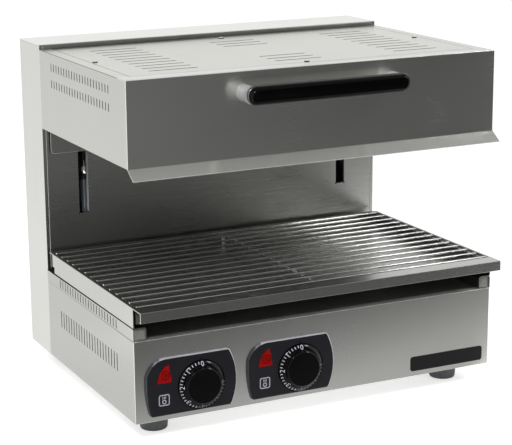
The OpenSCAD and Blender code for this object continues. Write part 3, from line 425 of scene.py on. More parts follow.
# Painted light on the posts and painted shade on the bar: one polished steel, with the posts half matt and
# lighter and the bar darker.
LIT_POST_STEEL = Finish("polished_posts_painted_light", (0.88, 0.88, 0.86), 0.26, 0.6, cloud=0.03, relief=0.02)
SHADED_BAR_STEEL = Finish("shaded_bar", (0.16, 0.16, 0.165), 0.22, 1.0, cloud=0.03, relief=0.02)
WIRE_STEEL = Finish("polished_wire", (0.56, 0.56, 0.55), 0.2, 1.0, cloud=0.05, patch=0.015, relief=0.03)
GROUND_STEEL = Finish("ground_rod", (0.62, 0.64, 0.66), 0.16, 1.0, cloud=0.04, relief=0.04)
CARRIAGE = Finish("machined_aluminium", (0.62, 0.62, 0.63), 0.34, 1.0, cloud=0.06, relief=0.12)
BRONZE = Finish("sintered_bronze", (0.6, 0.4, 0.19), 0.42, 1.0, cloud=0.12, patch=0.004)
STRUT_PAINT = Finish("strut_paint", (0.21, 0.235, 0.275), 0.2, 0.5, cloud=0.06, relief=0.04)
GLOSS_BLACK = Finish("polished_black", (0.0015, 0.0015, 0.0016), 0.1, cloud=0.2, relief=0.02, shine=0.1)
KNOB_BLACK = Finish("knob_black", (0.0025, 0.0025, 0.003), 0.13, cloud=0.2, relief=0.03, shine=0.25)
FACE_BLACK = Finish("knob_face_black", (0.0032, 0.0032, 0.0032), 0.5, cloud=0.15, relief=0.12, shine=0.06)
BEZEL_BLACK = Finish("bezel_blue_black", (0.011, 0.011, 0.0155), 0.4, cloud=0.1, relief=0.14, shine=0.25)
# Painted light and shade on the bezel's outline: a highlight, a grey half-shade and a shade.
BEZEL_HIGHLIGHT = Finish("bezel_painted_highlight", (0.78, 0.75, 0.83), 0.35, 0.4, cloud=0.05, relief=0.03)
BEZEL_HALF_SHADE = Finish("bezel_turn", (0.26, 0.25, 0.285), 0.4, 0.3, cloud=0.08, relief=0.05)
BEZEL_SHADE = Finish("bezel_painted_shade", (0.05, 0.05, 0.057), 0.4, cloud=0.08, relief=0.05, shine=0.3)
PLATE_BLACK = Finish("plate_black", (0.006, 0.006, 0.0065), 0.35, cloud=0.15, relief=0.1, shine=0.25)
FITTING_BLACK = Finish("fitting_black", (0.012, 0.012, 0.013), 0.35, cloud=0.15)
DIAL_WHITE = Finish("dial_white", (0.62, 0.62, 0.68), 0.45, cloud=0.06, patch=0.004)
# Painted shade: the darker print of the marks at the lower right of the dial.
DIAL_SHADED = Finish("dial_painted_shade", (0.16, 0.16, 0.185), 0.45, cloud=0.3, patch=0.003)
SYMBOL_GREY = Finish("symbol_grey", (0.42, 0.42, 0.48), 0.5, cloud=0.06, patch=0.004)
# The red lens carries a faint painted glow.
RED_LENS = SignalLens("red_lens", (0.3, 0.004, 0.003), 0.4, cloud=0.15, patch=0.01, relief=0.05, shine=0.04)
RED_DEEP = Finish("red_lens_rings", (0.075, 0.001, 0.001), 0.5, cloud=0.1, patch=0.01, shine=0.04)
HEAT_PLASTIC = Finish("heat_resisting_plastic", (0.55, 0.5, 0.4), 0.5, cloud=0.05)
CERAMIC = Finish("ceramic_bead", (0.8, 0.76, 0.66), 0.62, cloud=0.05, relief=0.2)
SHEATH = HotSheath("element_sheath", (0.09, 0.085, 0.085), 0.42)
RUBBER = Finish("foot_rubber", (0.1, 0.104, 0.108), 0.62, cloud=0.15, patch=0.01, relief=0.3)


# ---------------------------------------------------------------- mesh tools


def bevel(bm: BMesh, edges: Iterable[BMEdge], offset: float, segments: int = 3) -> None:
    """Rounds some edges over.

    Args:
        bm: mesh that holds them.
        edges: the edges.
        offset: width of the round in metres.
        segments: number of facets of the round.
    """
    chosen = list(edges)
    if chosen:
        bmesh.ops.bevel(bm, geom=chosen, offset=offset, offset_type="OFFSET", segments=segments, profile=0.5,
                        affect="EDGES", clamp_overlap=True, material=-1)


def sharp(bm: BMesh, angle: float = 25.0) -> list[BMEdge]:
    """Edges whose faces meet at more than an angle in degrees."""
    return [e for e in bm.edges if e.is_manifold and e.calc_face_angle(0.0) > math.radians(angle)]


def turned(profile: Outline, steps: int = 48, soften: float = 0.0) -> BMesh:
    """A round solid about Z.

    Args:
        profile: radius and height of each corner, from one end of the axis to the other.
        steps: facets round the axis.
        soften: width of the round on its circular edges.

    Returns:
        The closed mesh.
    """
    bm = bmesh.new()
    corners = [bm.verts.new((radius, 0.0, height)) for radius, height in profile]
    for start, end in zip(corners, corners[1:]):
        bm.edges.new((start, end))
    bmesh.ops.spin(bm, geom=bm.verts[:] + bm.edges[:], cent=(0, 0, 0), axis=(0, 0, 1), dvec=(0, 0, 0),
                   angle=2 * math.pi, steps=steps, use_merge=True, use_duplicate=False)
    bmesh.ops.remove_doubles(bm, verts=bm.verts, dist=WELD / 10)
    bmesh.ops.recalc_face_normals(bm, faces=bm.faces)
    if soften:
        bevel(bm, sharp(bm), soften)
    return bm


def box_mesh(size: Point, soften: float = 0.0) -> BMesh:
    """A block round the origin.

    Args:
        size: its size along X, Y and Z.
        soften: width of the round on its edges.

    Returns:
        The closed mesh.
    """
    bm = bmesh.new()
    bmesh.ops.create_cube(bm, size=1.0)
    bmesh.ops.scale(bm, verts=bm.verts, vec=size)
    if soften:
        bevel(bm, bm.edges, soften, 2)
    return bm


def prism(sides: int, radius: float, height: float, soften: float) -> BMesh:
    """A prism about Z that stands on its lower face.

    Args:
        sides: number of its sides.
        radius: radius over its corners.
        height: its height.
        soften: width of the round on its edges.

    Returns:
        The closed mesh.
    """
    bm = bmesh.new()
    bmesh.ops.create_cone(bm, cap_ends=True, segments=sides, radius1=radius, radius2=radius, depth=height)
    bmesh.ops.translate(bm, verts=bm.verts, vec=(0, 0, height / 2))
    bevel(bm, sharp(bm), soften, 2)
    return bm


def stadium(length: float, width: float, thickness: float, front: float, back: float) -> BMesh:
    """A flat bar with round ends that lies along X and stands on Z = 0.

    Args:
        length: length over the round ends.
        width: width along Y.
        thickness: thickness along Z.
        front: round on the edge of the upper face.
        back: round on the edge of the lower face.

    Returns:
        The closed mesh.
    """
    sides = 48
    bm = bmesh.new()
    bmesh.ops.create_circle(bm, cap_ends=True, radius=width / 2, segments=sides)
    bmesh.ops.rotate(bm, verts=bm.verts, cent=(0, 0, 0), matrix=Matrix.Rotation(math.pi / sides, 3, "Z"))
    for side in (-1, 1):
        half = [v for v in bm.verts if v.co.x * side > 0]
        bmesh.ops.translate(bm, verts=half, vec=(side * (length - width) / 2, 0, 0))
    raised = bmesh.ops.extrude_face_region(bm, geom=bm.faces[:])
    bmesh.ops.translate(bm, verts=[v for v in raised["geom"] if isinstance(v, BMVert)], vec=(0, 0, thickness))
    bmesh.ops.recalc_face_normals(bm, faces=bm.faces)
    bevel(bm, [e for e in sharp(bm, 60) if min(v.co.z for v in e.verts) > thickness / 2], front, 8)
    bevel(bm, [e for e in sharp(bm, 60) if max(v.co.z for v in e.verts) < thickness / 2], back, 4)
    return bm


def frame_outline(size: float, corner: float, line: float, height: float) -> BMesh:
    """A flat square outline with round corners, raised from Z = 0.

    Args:
        size: its size over the line.
        corner: width of the round on its corners.
        line: width of the line.
        height: thickness of the line.

    Returns:
        The closed mesh.
    """
    bm = bmesh.new()
    bmesh.ops.create_grid(bm, x_segments=1, y_segments=1, size=size / 2)
    bmesh.ops.bevel(bm, geom=bm.verts[:], offset=corner, offset_type="OFFSET", segments=5, profile=0.5,
                    affect="VERTICES", clamp_overlap=True, material=-1)
    bmesh.ops.inset_region(bm, faces=bm.faces[:], thickness=line, use_even_offset=True, use_boundary=True)
    middle = min(bm.faces, key=lambda face: face.calc_center_median().length)
    bmesh.ops.delete(bm, geom=[middle], context="FACES")
    bmesh.ops.solidify(bm, geom=bm.faces[:], thickness=height)
    bmesh.ops.recalc_face_normals(bm, faces=bm.faces)
    bmesh.ops.translate(bm, verts=bm.verts, vec=(0, 0, -min(v.co.z for v in bm.verts)))
    return bm


def facing_front(x: float, y: float, z: float) -> Matrix:
    """Puts a piece's Z axis towards the front, its Y axis up and its origin at a place."""
    return Matrix(((1, 0, 0, x), (0, 0, -1, y), (0, 1, 0, z), (0, 0, 0, 1)))


def facing(axis: Point, place: Point) -> Matrix:
    """Turns a piece's Z axis along an axis and puts its origin at a place."""
    turn = Vector((0, 0, 1)).rotation_difference(Vector(axis)).to_matrix().to_4x4()
    return Matrix.Translation(place) @ turn


class BentBar:
    """A round bar that is bent from straight lengths and turns."""

    def __init__(self, start: Point, along: Point, radius: float, sides: int = 14) -> None:
        """Starts with a disc, whose ring of edges the bar grows from.

        Args:
            start: middle of the disc.
            along: direction in which the bar sets out.
            radius: radius of the bar.
            sides: facets round the bar.
        """
        self.bm = bmesh.new()
        self.at = Vector(start)
        self.along = Vector(along).normalized()
        bmesh.ops.create_circle(self.bm, cap_ends=True, radius=radius, segments=sides,
                                matrix=facing(self.along, self.at))
        self.ring = self.bm.edges[:]

    def ahead(self, length: float) -> "BentBar":
        """Goes straight on.

        Args:
            length: how far.

        Returns:
            The bar itself.
        """
        out = bmesh.ops.extrude_edge_only(self.bm, edges=self.ring)["geom"]
        self.ring = [g for g in out if isinstance(g, BMEdge) and all(v in out for v in g.verts)]
        verts = {v for e in self.ring for v in e.verts}
        bmesh.ops.translate(self.bm, verts=list(verts), vec=self.along * length)
        self.at = self.at + self.along * length
        return self

    def turn(self, towards: Point, radius: float, angle: float = 90.0, steps: int = 6) -> "BentBar":
        """Bends towards a direction.

        Args:
            towards: direction of the bend's centre, square to the bar.
            radius: radius of the bar's middle line.
            angle: angle of the bend in degrees.
            steps: facets along the bend.

        Returns:
            The bar itself.
        """
        centre = self.at + Vector(towards).normalized() * radius
        axis = self.along.cross(Vector(towards)).normalized()
        verts = list({v for e in self.ring for v in e.verts})
        out = bmesh.ops.spin(self.bm, geom=verts + self.ring, cent=centre, axis=axis, dvec=(0, 0, 0),
                             angle=math.radians(angle), steps=steps, use_merge=False, use_duplicate=False)
        self.ring = [g for g in out["geom_last"] if isinstance(g, BMEdge)]
        rotation = Matrix.Rotation(math.radians(angle), 3, axis)
        self.at = centre + rotation @ (self.at - centre)
        self.along = rotation @ self.along
        return self

    def done(self, soften: float = 0.0) -> BMesh:
        """Closes the far end and rounds both ends over.

        Args:
            soften: width of the round on the end edges.

        Returns:
            The closed mesh.
        """
        bmesh.ops.contextual_create(self.bm, geom=self.ring)
        bmesh.ops.recalc_face_normals(self.bm, faces=self.bm.faces)
        if soften:
            bevel(self.bm, sharp(self.bm, 50), soften)
        return self.bm


class Piece:
    """A mesh on its way to becoming a named object of the scene."""

    def __init__(self, name: str) -> None:
        """Starts empty.

        Args:
            name: name of the object that it becomes.
        """
        self.name = name
        self.bm = bmesh.new()
        self.paints: list[Finish] = []

    @classmethod
    def from_node(cls, name: str, *nodes: str) -> "Piece":
        """Starts from merged copies of the solids of some CAD nodes.

        Args:
            name: name of the piece.
            nodes: the nodes.

        Returns:
            The piece.
        """
        piece = cls(name)
        for node in nodes:
            piece.bm.from_mesh(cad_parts[node].data)
        bmesh.ops.remove_doubles(piece.bm, verts=piece.bm.verts, dist=WELD)
        bmesh.ops.dissolve_limit(piece.bm, angle_limit=math.radians(0.5), verts=piece.bm.verts,
                                 edges=piece.bm.edges)
        return piece

    def add(self, part: BMesh, place: Matrix = Matrix.Identity(4)) -> "Piece":
        """Takes in another mesh.

        Args:
            part: the mesh, which is used up.
            place: where it goes.

        Returns:
            The piece itself.
        """
        store = bpy.data.meshes.new("store")
        part.transform(place)
        part.to_mesh(store)
        part.free()
        self.bm.from_mesh(store)
        bpy.data.meshes.remove(store)
        return self

    def round_over(self, offset: float, chosen: EdgeTest, segments: int = 3) -> "Piece":
        """Rounds over the sharp edges for which a test holds."""
        bevel(self.bm, [e for e in sharp(self.bm, 30) if chosen(e)], offset, segments)
        return self

    def paint(self, finish: Finish, chosen: FaceTest) -> "Piece":
        """Gives the faces for which a test holds a finish of their own.

        Args:
            finish: the finish.
            chosen: the test.

        Returns:
            The piece itself.
        """
        self.bm.normal_update()
        self.paints.append(finish)
        for face in self.bm.faces:
            if chosen(face):
                face.material_index = len(self.paints)
        return self

    def finish(self, finish: Finish, body: str, slot: str, replaces: Iterable[str] = (),
               smooth: Optional[float] = 35.0) -> bpy.types.Object:
        """Makes the object.

        Args:
            finish: its finish.
            body: CAD body that it moves with.
            slot: the record's material slot; not used.
            replaces: CAD nodes that it stands for.
            smooth: angle in degrees under which faces shade smoothly, or None for flat faces.

        Returns:
            The object, at the origin.
        """
        mesh = bpy.data.meshes.new(self.name)
        self.bm.to_mesh(mesh)
        self.bm.free()
        if smooth is not None:
            mesh.shade_smooth()
            mesh.set_sharp_from_angle(angle=math.radians(smooth))
        for coat in (finish, *self.paints):
            mesh.materials.append(coat.material())
        piece = bpy.data.objects.new(self.name, mesh)
        bpy.context.scene.collection.objects.link(piece)
        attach(piece, body)
        nodes = list(replaces)
        if nodes:
            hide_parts(*nodes)
        log.info("%s: %d faces, rides on %s", self.name, len(mesh.polygons), body)
        return piece


def dress(finish: Finish, *nodes: str) -> None:
    """Gives CAD nodes a finish through their material slots.

    Args:
        finish: the finish.
        nodes: the nodes.
    """
    for node in nodes:
        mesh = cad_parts[node].data
        mesh.materials.clear()
        mesh.materials.append(finish.material())
        log.info("%s: dressed in %s", node, finish.name)


def at_depth(edge: BMEdge, y: float) -> bool:
    """Whether an edge lies in the upright plane at one depth."""
    return all(abs(v.co.y - y) < SLACK for v in edge.verts)


def on_box_edge(node: str) -> EdgeTest:
    """A test for edges that lie on two faces of a node's box.

    Args:
        node: CAD node whose box counts.

    Returns:
        The test.
    """
    low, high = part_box(node)

    def test(edge: BMEdge) -> bool:
        """Counts the box faces that hold both ends.

        Args:
            edge: the edge.

        Returns:
            Whether there are two or more.
        """
        held = 0
        for axis in range(3):
            for limit in (low[axis], high[axis]):
                held += all(abs(v.co[axis] - limit) < SLACK for v in edge.verts)
        return held >= 2

    return test


# ---------------------------------------------------------------- sheet metal

Paint = tuple[Finish, FaceTest]


@dataclass
class Casing:
    """Folded sheets of the base, the column and the hood.

    Attributes:
        fold: round on the outer folds, in metres.
        sheet: round on the upright folds of the hood's front, just under the sheet's thickness.
        cut: round on the cut edges that face the front.
        shortest: length under which an edge stays sharp.
        lip: height of the bright edge along the foot of the hood's front.
        plate: thickness of the hood's back plate.
        side_fold: how far in from the left the column's front stays without the painted highlight.
        end_gap: how much smaller a runner's end plate is than the runner.
        end_plate: thickness of that plate.
        end_depth: how far behind the runner's front it stands.
    """

    fold: float = 1.8 * MM
    sheet: float = 1.1 * MM
    cut: float = 0.6 * MM
    shortest: float = 25.0 * MM
    # lip: height of the painted highlight along the foot of the hood's front.
    lip: float = 1.3 * MM
    plate: float = 1.2 * MM
    side_fold: float = 20.0 * MM
    end_gap: float = 1.6 * MM
    end_plate: float = 1.0 * MM
    end_depth: float = 2.2 * MM

    def panel(self, node: str, finish: Finish, body: str, also: Optional[EdgeTest] = None,
              joined: Optional[EdgeTest] = None, paints: Sequence[Paint] = ()) -> None:
        """Rounds the outer edges of one sheet over.

        Args:
            node: CAD node that the piece replaces.
            finish: its finish.
            body: CAD body that it moves with.
            also: a test for further edges, which get a smaller round.
            joined: a test for folds off the box, which are rounded together with the others.
            paints: finishes of single faces, each with the test that picks them.
        """
        piece = Piece.from_node(f"{node}_sheet", node)
        outer = on_box_edge(node)

        def chosen(edge: BMEdge) -> bool:
            """Long edges on the box, and the folds that join them."""
            return edge.calc_length() > self.shortest and (outer(edge) or bool(joined and joined(edge)))

        piece.round_over(self.sheet if joined else self.fold, chosen, 4)
        if also:
            piece.round_over(self.cut, also, 2)
        for coat, test in paints:
            piece.paint(coat, test)
        piece.finish(finish, body, "casing_steel", [node], smooth=None)

    def build(self) -> None:
        """Builds the sheets that show and dresses the others."""
        for side in Side:
            hood_side, runner = f"hood_side_{side}", f"runner_{side}"
            # Painted shade in the tones of the side sheets. The column sides' front folds take the column's
            # painted shade, the hood sides' top folds take painted shade and their tops painted light, and
            # the runners' top folds take a painted shadow line.
            self.panel(f"base_side_{side}", SHADED_BASE_SIDE_STEEL, "base")
            self.panel(f"column_side_{side}", SHADED_COLUMN_SIDE_STEEL, "base",
                       paints=[(SHADED_COLUMN_STEEL, lambda f: f.normal.y < -0.2)])
            self.panel(hood_side, SHADED_HOOD_SIDE_STEEL, "hood",
                       paints=[(SHADED_STEEL, self.near_top(hood_side, 0.2)),
                               (LIT_TOP_STEEL, lambda f: f.normal.z > 0.9)])
            self.panel(runner, SHADED_BASE_SIDE_STEEL, "base", paints=[(SHADE_LINE_STEEL, self.near_top(runner, -0.1))])
        # Painted highlight along the base front's top fold.
        self.panel("base_front_panel", FRONT_STEEL, "base",
                   paints=[(HIGHLIGHT_STEEL, self.near_top("base_front_panel", 0.2))])
        self.hood_front()
        self.runner_ends()
        # Painted light in the tone of the column's top cap.
        self.panel("column_top_cap", LIT_CAP_STEEL, "base")
        self.panel("column_back_cover", FRONT_STEEL, "base")
        self.slotted_panel()
        self.back_plate()
        # Painted light in the tones of the hood's cover and the deck.
        dress(LIT_TOP_STEEL, "hood_top_cover")
        dress(LIT_DECK_STEEL, "deck_plate")
        dress(INNER_STEEL, "base_floor")

    def near_top(self, node: str, least: float) -> FaceTest:
        """A test for the faces of a sheet's topmost fold.

        Args:
            node: CAD node of the sheet.
            least: how far up a face must look.

        Returns:
            The test.
        """
        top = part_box(node)[1].z - self.fold
        return lambda face: face.calc_center_median().z > top and face.normal.z > least

    def hood_front(self) -> None:
        """Front of the hood, with painted highlights on the folds down its sides and along the lip's lower
        edge.
        """
        low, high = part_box("hood_front_panel")
        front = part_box("handle_posts")[1].y  # the posts stand on the front face
        foot = low.z + self.lip

        def upright(edge: BMEdge) -> bool:
            """Upright edges of the front face."""
            return all(abs(abs(v.co.x) - high.x) + abs(v.co.y - front) < 2 * SLACK for v in edge.verts)

        def bright(face: BMFace) -> bool:
            """Faces of the upright folds and of the lower edge, which get the painted highlight.

            Args:
                face: the face.

            Returns:
                Whether it is one of them.
            """
            middle, normal = face.calc_center_median(), face.normal
            on_fold = abs(normal.x) > 0.2 and middle.y > front - 2 * SLACK
            return normal.y < -0.1 and (on_fold or middle.z < foot)

        self.panel("hood_front_panel", FRONT_STEEL, "hood", joined=upright, paints=[(HIGHLIGHT_STEEL, bright)])

    def runner_ends(self) -> None:
        """Small plates that close the front ends of the runners."""
        plates = Piece("runner_end_plates")
        for side in Side:
            low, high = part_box(f"runner_{side}")
            size = (high.x - low.x - self.end_gap, high.z - low.z - self.end_gap, self.end_plate)
            plates.add(box_mesh(size, 0.2 * MM),
                       facing_front((low.x + high.x) / 2, low.y + self.end_depth, (low.z + high.z) / 2))
        plates.finish(END_STEEL, "base", "casing_steel")

    def slotted_panel(self) -> None:
        """Front of the column, in the column's painted shade, with rounded edges along its two slots and a
        painted highlight on the right wall of the left slot.
        """
        low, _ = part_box("column_front_panel")

        def along_slots(edge: BMEdge) -> bool:
            """Upright edges of the front face."""
            first, last = edge.verts
            return at_depth(edge, low.y) and abs(first.co.x - last.co.x) < 2 * SLACK

        def right_wall(face: BMFace) -> bool:
            """The right wall of the left slot, and its round, which get the painted highlight."""
            return face.normal.x < -0.2 and low.x + self.side_fold < face.calc_center_median().x < 0

        self.panel("column_front_panel", SHADED_COLUMN_STEEL, "base", also=along_slots,
                   paints=[(HIGHLIGHT_STEEL, right_wall)])

    def back_plate(self) -> None:
        """Back plate of the hood, in the column's painted shade, with a rounded edge round the part that
        hangs below the sides and a painted highlight on its lower edge.
        """
        low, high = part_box("hood_back_plate")
        front = high.y - self.plate
        hood_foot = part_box("hood_side_left")[0].z

        def below_hood(edge: BMEdge) -> bool:
            """Edges of the front face below the hood."""
            return at_depth(edge, front) and all(v.co.z < hood_foot + 2 * SLACK for v in edge.verts)

        def lower_edge(face: BMFace) -> bool:
            """Its lower edge, as far as that faces the front, which gets the painted highlight."""
            return face.calc_center_median().z < low.z + self.plate and face.normal.y < -0.1

        self.panel("hood_back_plate", SHADED_COLUMN_STEEL, "hood", also=below_hood,
                   paints=[(HIGHLIGHT_STEEL, lower_edge)])


# ---------------------------------------------------------------- pan and grid


@dataclass
class PanAndGrid:
    """Drip pan and the wire grid in it.

    Attributes:
        rim: round on the pan's rim and lip, in metres.
        wire_radius: radius of the long wires.
        wire_end: round on their ends.
        wires: number of long wires.
        rod_radius: radius of the cross rods.
        rod_end: round on their ends.
        bend: radius of their bends.
    """

    rim: float = 0.8 * MM
    wire_radius: float = 2.0 * MM
    wire_end: float = 0.8 * MM
    wires: int = 14
    rod_radius: float = 2.5 * MM
    rod_end: float = 0.6 * MM
    bend: float = 5.0 * MM

    def pan(self) -> None:
        """Rounds the rim and the lip of the pan over."""
        low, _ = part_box("grid_pan")
        piece = Piece.from_node("drip_pan", "grid_pan")
        on_box = on_box_edge("grid_pan")
        piece.round_over(self.rim, lambda edge: on_box(edge) or at_depth(edge, low.y))
        # The pan's steel is painted darker, a painted shade.
        piece.finish(SHADED_PAN_STEEL, "pan", "casing_steel", ["grid_pan"], smooth=None)

    def grid(self) -> None:
        """Builds the long wires and the bent cross rods."""
        low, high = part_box("grid_wires")
        z = (low.z + high.z) / 2
        wires = Piece("grid_wires_round")
        for i in range(self.wires):
            y = low.y + self.wire_radius + i * (high.y - low.y - 2 * self.wire_radius) / (self.wires - 1)
            bar = BentBar((low.x, y, z), (1, 0, 0), self.wire_radius, 12).ahead(high.x - low.x)
            wires.add(bar.done(self.wire_end))
        wires.finish(WIRE_STEEL, "grid", "bright_steel", ["grid_wires"])
        low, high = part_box("grid_rods")
        rods = Piece("grid_rods_bent")
        leg = high.z - self.rod_radius - low.z - self.bend
        reach = high.y - low.y - 2 * self.rod_radius - 2 * self.bend
        for x in (low.x + self.rod_radius, 0.0, high.x - self.rod_radius):
            bar = BentBar((x, low.y + self.rod_radius, low.z), (0, 0, 1), self.rod_radius)
            bar.ahead(leg).turn((0, 1, 0), self.bend)
            bar.ahead(reach).turn((0, 0, -1), self.bend).ahead(leg)
            rods.add(bar.done(self.rod_end))
        rods.finish(WIRE_STEEL, "grid", "bright_steel", ["grid_rods"])

    def build(self) -> None:
        """Builds both."""
        self.pan()
        self.grid()


# ---------------------------------------------------------------- handle


@dataclass
class HoodHandle:
    """Handle bar in painted shade on two polished posts painted lighter, with a crowned black grip.

    Attributes:
        bar: thickness of the bar behind the grip, in metres.
        bar_rounds: rounds on the bar's front and back edges.
        rim: how far the bar shows round the grip.
        rise: how much higher the grip sits than the bar.
        grip_rounds: rounds on the grip's front and back edges.
        neck: radius of a post's straight part.
        straight: straight part of a post, as a part of its length.
        flare: part of its length over which it flares out to the bar.
    """

    bar: float = 6.0 * MM
    bar_rounds: tuple[float, float] = (1.8 * MM, 1.0 * MM)
    rim: float = 1.2 * MM
    rise: float = 0.8 * MM
    grip_rounds: tuple[float, float] = (8.5 * MM, 0.4 * MM)
    neck: float = 12.2 * MM
    straight: float = 0.5
    flare: float = 0.45

    def post(self, wide: float, reach: float) -> BMesh:
        """Turns one post.

        Args:
            wide: radius at the bar.
            reach: length from the hood to the bar.

        Returns:
            The closed mesh.
        """
        profile = [(0.0, 0.0), (self.neck, 0.0), (self.neck, self.straight * reach)]
        for step in range(1, 12):
            angle = math.radians(8 * step)
            profile.append((wide - (wide - self.neck) * math.cos(angle),
                            reach - self.flare * reach * (1 - math.sin(angle))))
        return turned([*profile, (wide, reach), (0.0, reach)])

    def build(self) -> None:
        """Builds the posts with the bar, and the grip."""
        low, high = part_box("handle_grip")
        post_low, post_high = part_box("handle_posts")
        length, height, depth = high.x - low.x, high.z - low.z, high.y - low.y
        z = (low.z + high.z) / 2
        wide = (post_high.z - post_low.z) / 2
        x = post_high.x - wide
        metal = Piece("handle_bar_and_posts")
        for side in (-1, 1):
            metal.add(self.post(wide, post_high.y - high.y), facing_front(side * x, post_high.y, z))
        metal.add(stadium(length, height, self.bar, *self.bar_rounds), facing_front(0.0, high.y, z))
        # Painted shade on the bar's faces behind the grip, and the posts' steel painted lighter.
        metal.paint(SHADED_BAR_STEEL, lambda f: f.calc_center_median().y < high.y - 0.01 * MM)
        metal.finish(LIT_POST_STEEL, "hood", "bright_steel", ["handle_posts"])
        grip = Piece("handle_grip_crowned")
        grip.add(stadium(length - 2 * self.rim, height - 2 * self.rim, depth - self.bar, *self.grip_rounds),
                 facing_front(0.0, high.y - self.bar, z + self.rise))
        grip.finish(GLOSS_BLACK, "hood", "black_gloss", ["handle_grip"])
        dress(GALVANISED, "handle_screws")


# ---------------------------------------------------------------- controls


@dataclass
class Control:
    """One heat control: bezel, red lens, symbol and knob with its dial.

    Attributes:
        side: its side of the melter.
        steps: the numbers on the dial.
        spread: angle from one number to the next, in degrees.
        ticks: steps of the fine marks from one number to the next.
        worn_from: number of the mark from which the print is painted darker, as painted shade.
        skirt: radius of the knob's skirt.
        waist: radius at the top of its cone.
        face: radius of its face.
        rim: height of the skirt's upright rim.
        bulge: four times how far the cone stands out halfway up.
        recess: gap between the skirt and its recess in the bezel.
        edge: round on the bezel's outline.
        clear: distance from the lens within which an edge stays sharp.
        ink: thickness of the print on the bezel.
        symbol: place of the symbol's middle, across and up from the bezel's lower left corner.
        rings: radii of the rings on the lens.
        ring_place: place of their middle, across and up from the lens's lower left corner.
        numbers: radius of the circle of numbers.
        marks: radius of the circle of fine marks.
        number_size: height of the numbers' type.
    """

    side: Side
    steps: int = 7
    spread: float = 45.0
    ticks: int = 5
    worn_from: int = 19
    skirt: float = 36.0 * MM
    waist: float = 28.5 * MM
    face: float = 27.0 * MM
    rim: float = 3.0 * MM
    bulge: float = 3.2 * MM
    recess: float = 1.8 * MM
    edge: float = 2.4 * MM
    clear: float = 0.6 * MM
    ink: float = 0.12 * MM
    symbol: tuple[float, float] = (27.5 * MM, 24.0 * MM)
    rings: tuple[float, float] = (2.4 * MM, 6.2 * MM)
    ring_place: tuple[float, float] = (12.2 * MM, 11.5 * MM)
    numbers: float = 32.0 * MM
    marks: float = 33.8 * MM
    number_size: float = 10.5 * MM

    def bezel(self) -> None:
        """Rounds the outline of the bezel over."""
        node = f"control_bezel_{self.side}"
        low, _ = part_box(node)
        lens_low, lens_high = self.lens_box()
        centre = self.centre()

        def on_outline(edge: BMEdge) -> bool:
            """Edges of the front face outside the knob's recess and the lens.

            Args:
                edge: the edge.

            Returns:
                Whether it is one of them.
            """
            away = all(math.hypot(v.co.x - centre.x, v.co.z - centre.z) > self.skirt + self.recess
                       for v in edge.verts)
            by_lens = all(lens_low.x - self.clear < v.co.x < lens_high.x + self.clear
                          and lens_low.z - self.clear < v.co.z < lens_high.z + self.clear for v in edge.verts)
            return at_depth(edge, low.y) and away and not by_lens

        piece = Piece.from_node(f"bezel_{self.side}", node)
        piece.round_over(self.edge, on_outline, 4)
        self.paint_outline(piece)
        piece.finish(BEZEL_BLACK, "base", "black_bezel", [node], smooth=None)

    def paint_outline(self, bezel: Piece) -> None:
        """Paints light and shade on the bezel's outline: a painted highlight on the top and right, a grey
        painted half-shade at the upper left, painted shade on the left.

        Args:
            bezel: the bezel, with its edge rounded.
        """
        middle = self.centre()
        left, turn, up = -0.55, -0.3, 0.6  # parts of a face's direction at which the paint changes

        def outside(face: BMFace) -> bool:
            """Faces on the outline, not in the recess or the lens's pocket."""
            away = face.calc_center_median() - middle
            return -0.97 < face.normal.y < 0.2 and away.x * face.normal.x + away.z * face.normal.z > 0

        def lit(face: BMFace) -> bool:
            """Faces of the outline that look up, or to the right and the front, which get the painted
            highlight.
            """
            x, y, z = face.normal
            return outside(face) and (z > up and x > turn or x > -turn and y < -0.1)

        bezel.paint(BEZEL_SHADE, lambda f: outside(f) and f.normal.x < left)
        bezel.paint(BEZEL_HALF_SHADE, lambda f: outside(f) and f.normal.z > up and left < f.normal.x < turn)
        bezel.paint(BEZEL_HIGHLIGHT, lit)

    def print_symbol(self) -> None:
        """Prints the grill symbol and the index over the knob on the bezel."""
        low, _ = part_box(f"control_bezel_{self.side}")
        centre = self.centre()
        front = low.y - PRINT_GAP
        x, z = low.x + self.symbol[0], low.z + self.symbol[1]
        marks = Piece(f"bezel_marks_{self.side}")
        marks.add(frame_outline(17 * MM, 3 * MM, 1.5 * MM, self.ink), facing_front(x, front, z))
        inner, outer = 1.9 * MM, 3.4 * MM
        ring = [(inner, 0.0), (outer, 0.0), (outer, self.ink), (inner, self.ink), (inner, 0.0)]
        marks.add(turned(ring, steps=24), facing_front(x, front, z - 2.6 * MM))
        for across in (-2.2 * MM, 0.0, 2.2 * MM):
            stroke = box_mesh((1.1 * MM, 3.8 * MM, 2 * self.ink))
            marks.add(stroke, facing_front(x + across, front, z + 3.6 * MM))
        marks.finish(SYMBOL_GREY, "base", "black_bezel")
        index = Piece(f"bezel_index_{self.side}")
        index.add(box_mesh((1.2 * MM, 3.4 * MM, 2 * self.ink), 0.1 * MM),
                  facing_front(centre.x, front, centre.z + self.skirt + self.recess + 1.8 * MM))
        index.finish(FACE_BLACK, "base", "black_bezel")

    def centre(self) -> Vector:
        """Middle of the knob's box."""
        low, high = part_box(f"control_knob_{self.side}")
        return (low + high) / 2

    def lens_box(self) -> tuple[Vector, Vector]:
        """Box of this control's lens.

        Returns:
            Its lower and its upper corner.
        """
        low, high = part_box("indicator_lenses")
        width = high.x - low.x - (Control(Side.RIGHT).centre() - Control(Side.LEFT).centre()).x
        left = low.x if self.side is Side.LEFT else high.x - width
        return Vector((left, low.y, low.z)), Vector((left + width, high.y, high.z))

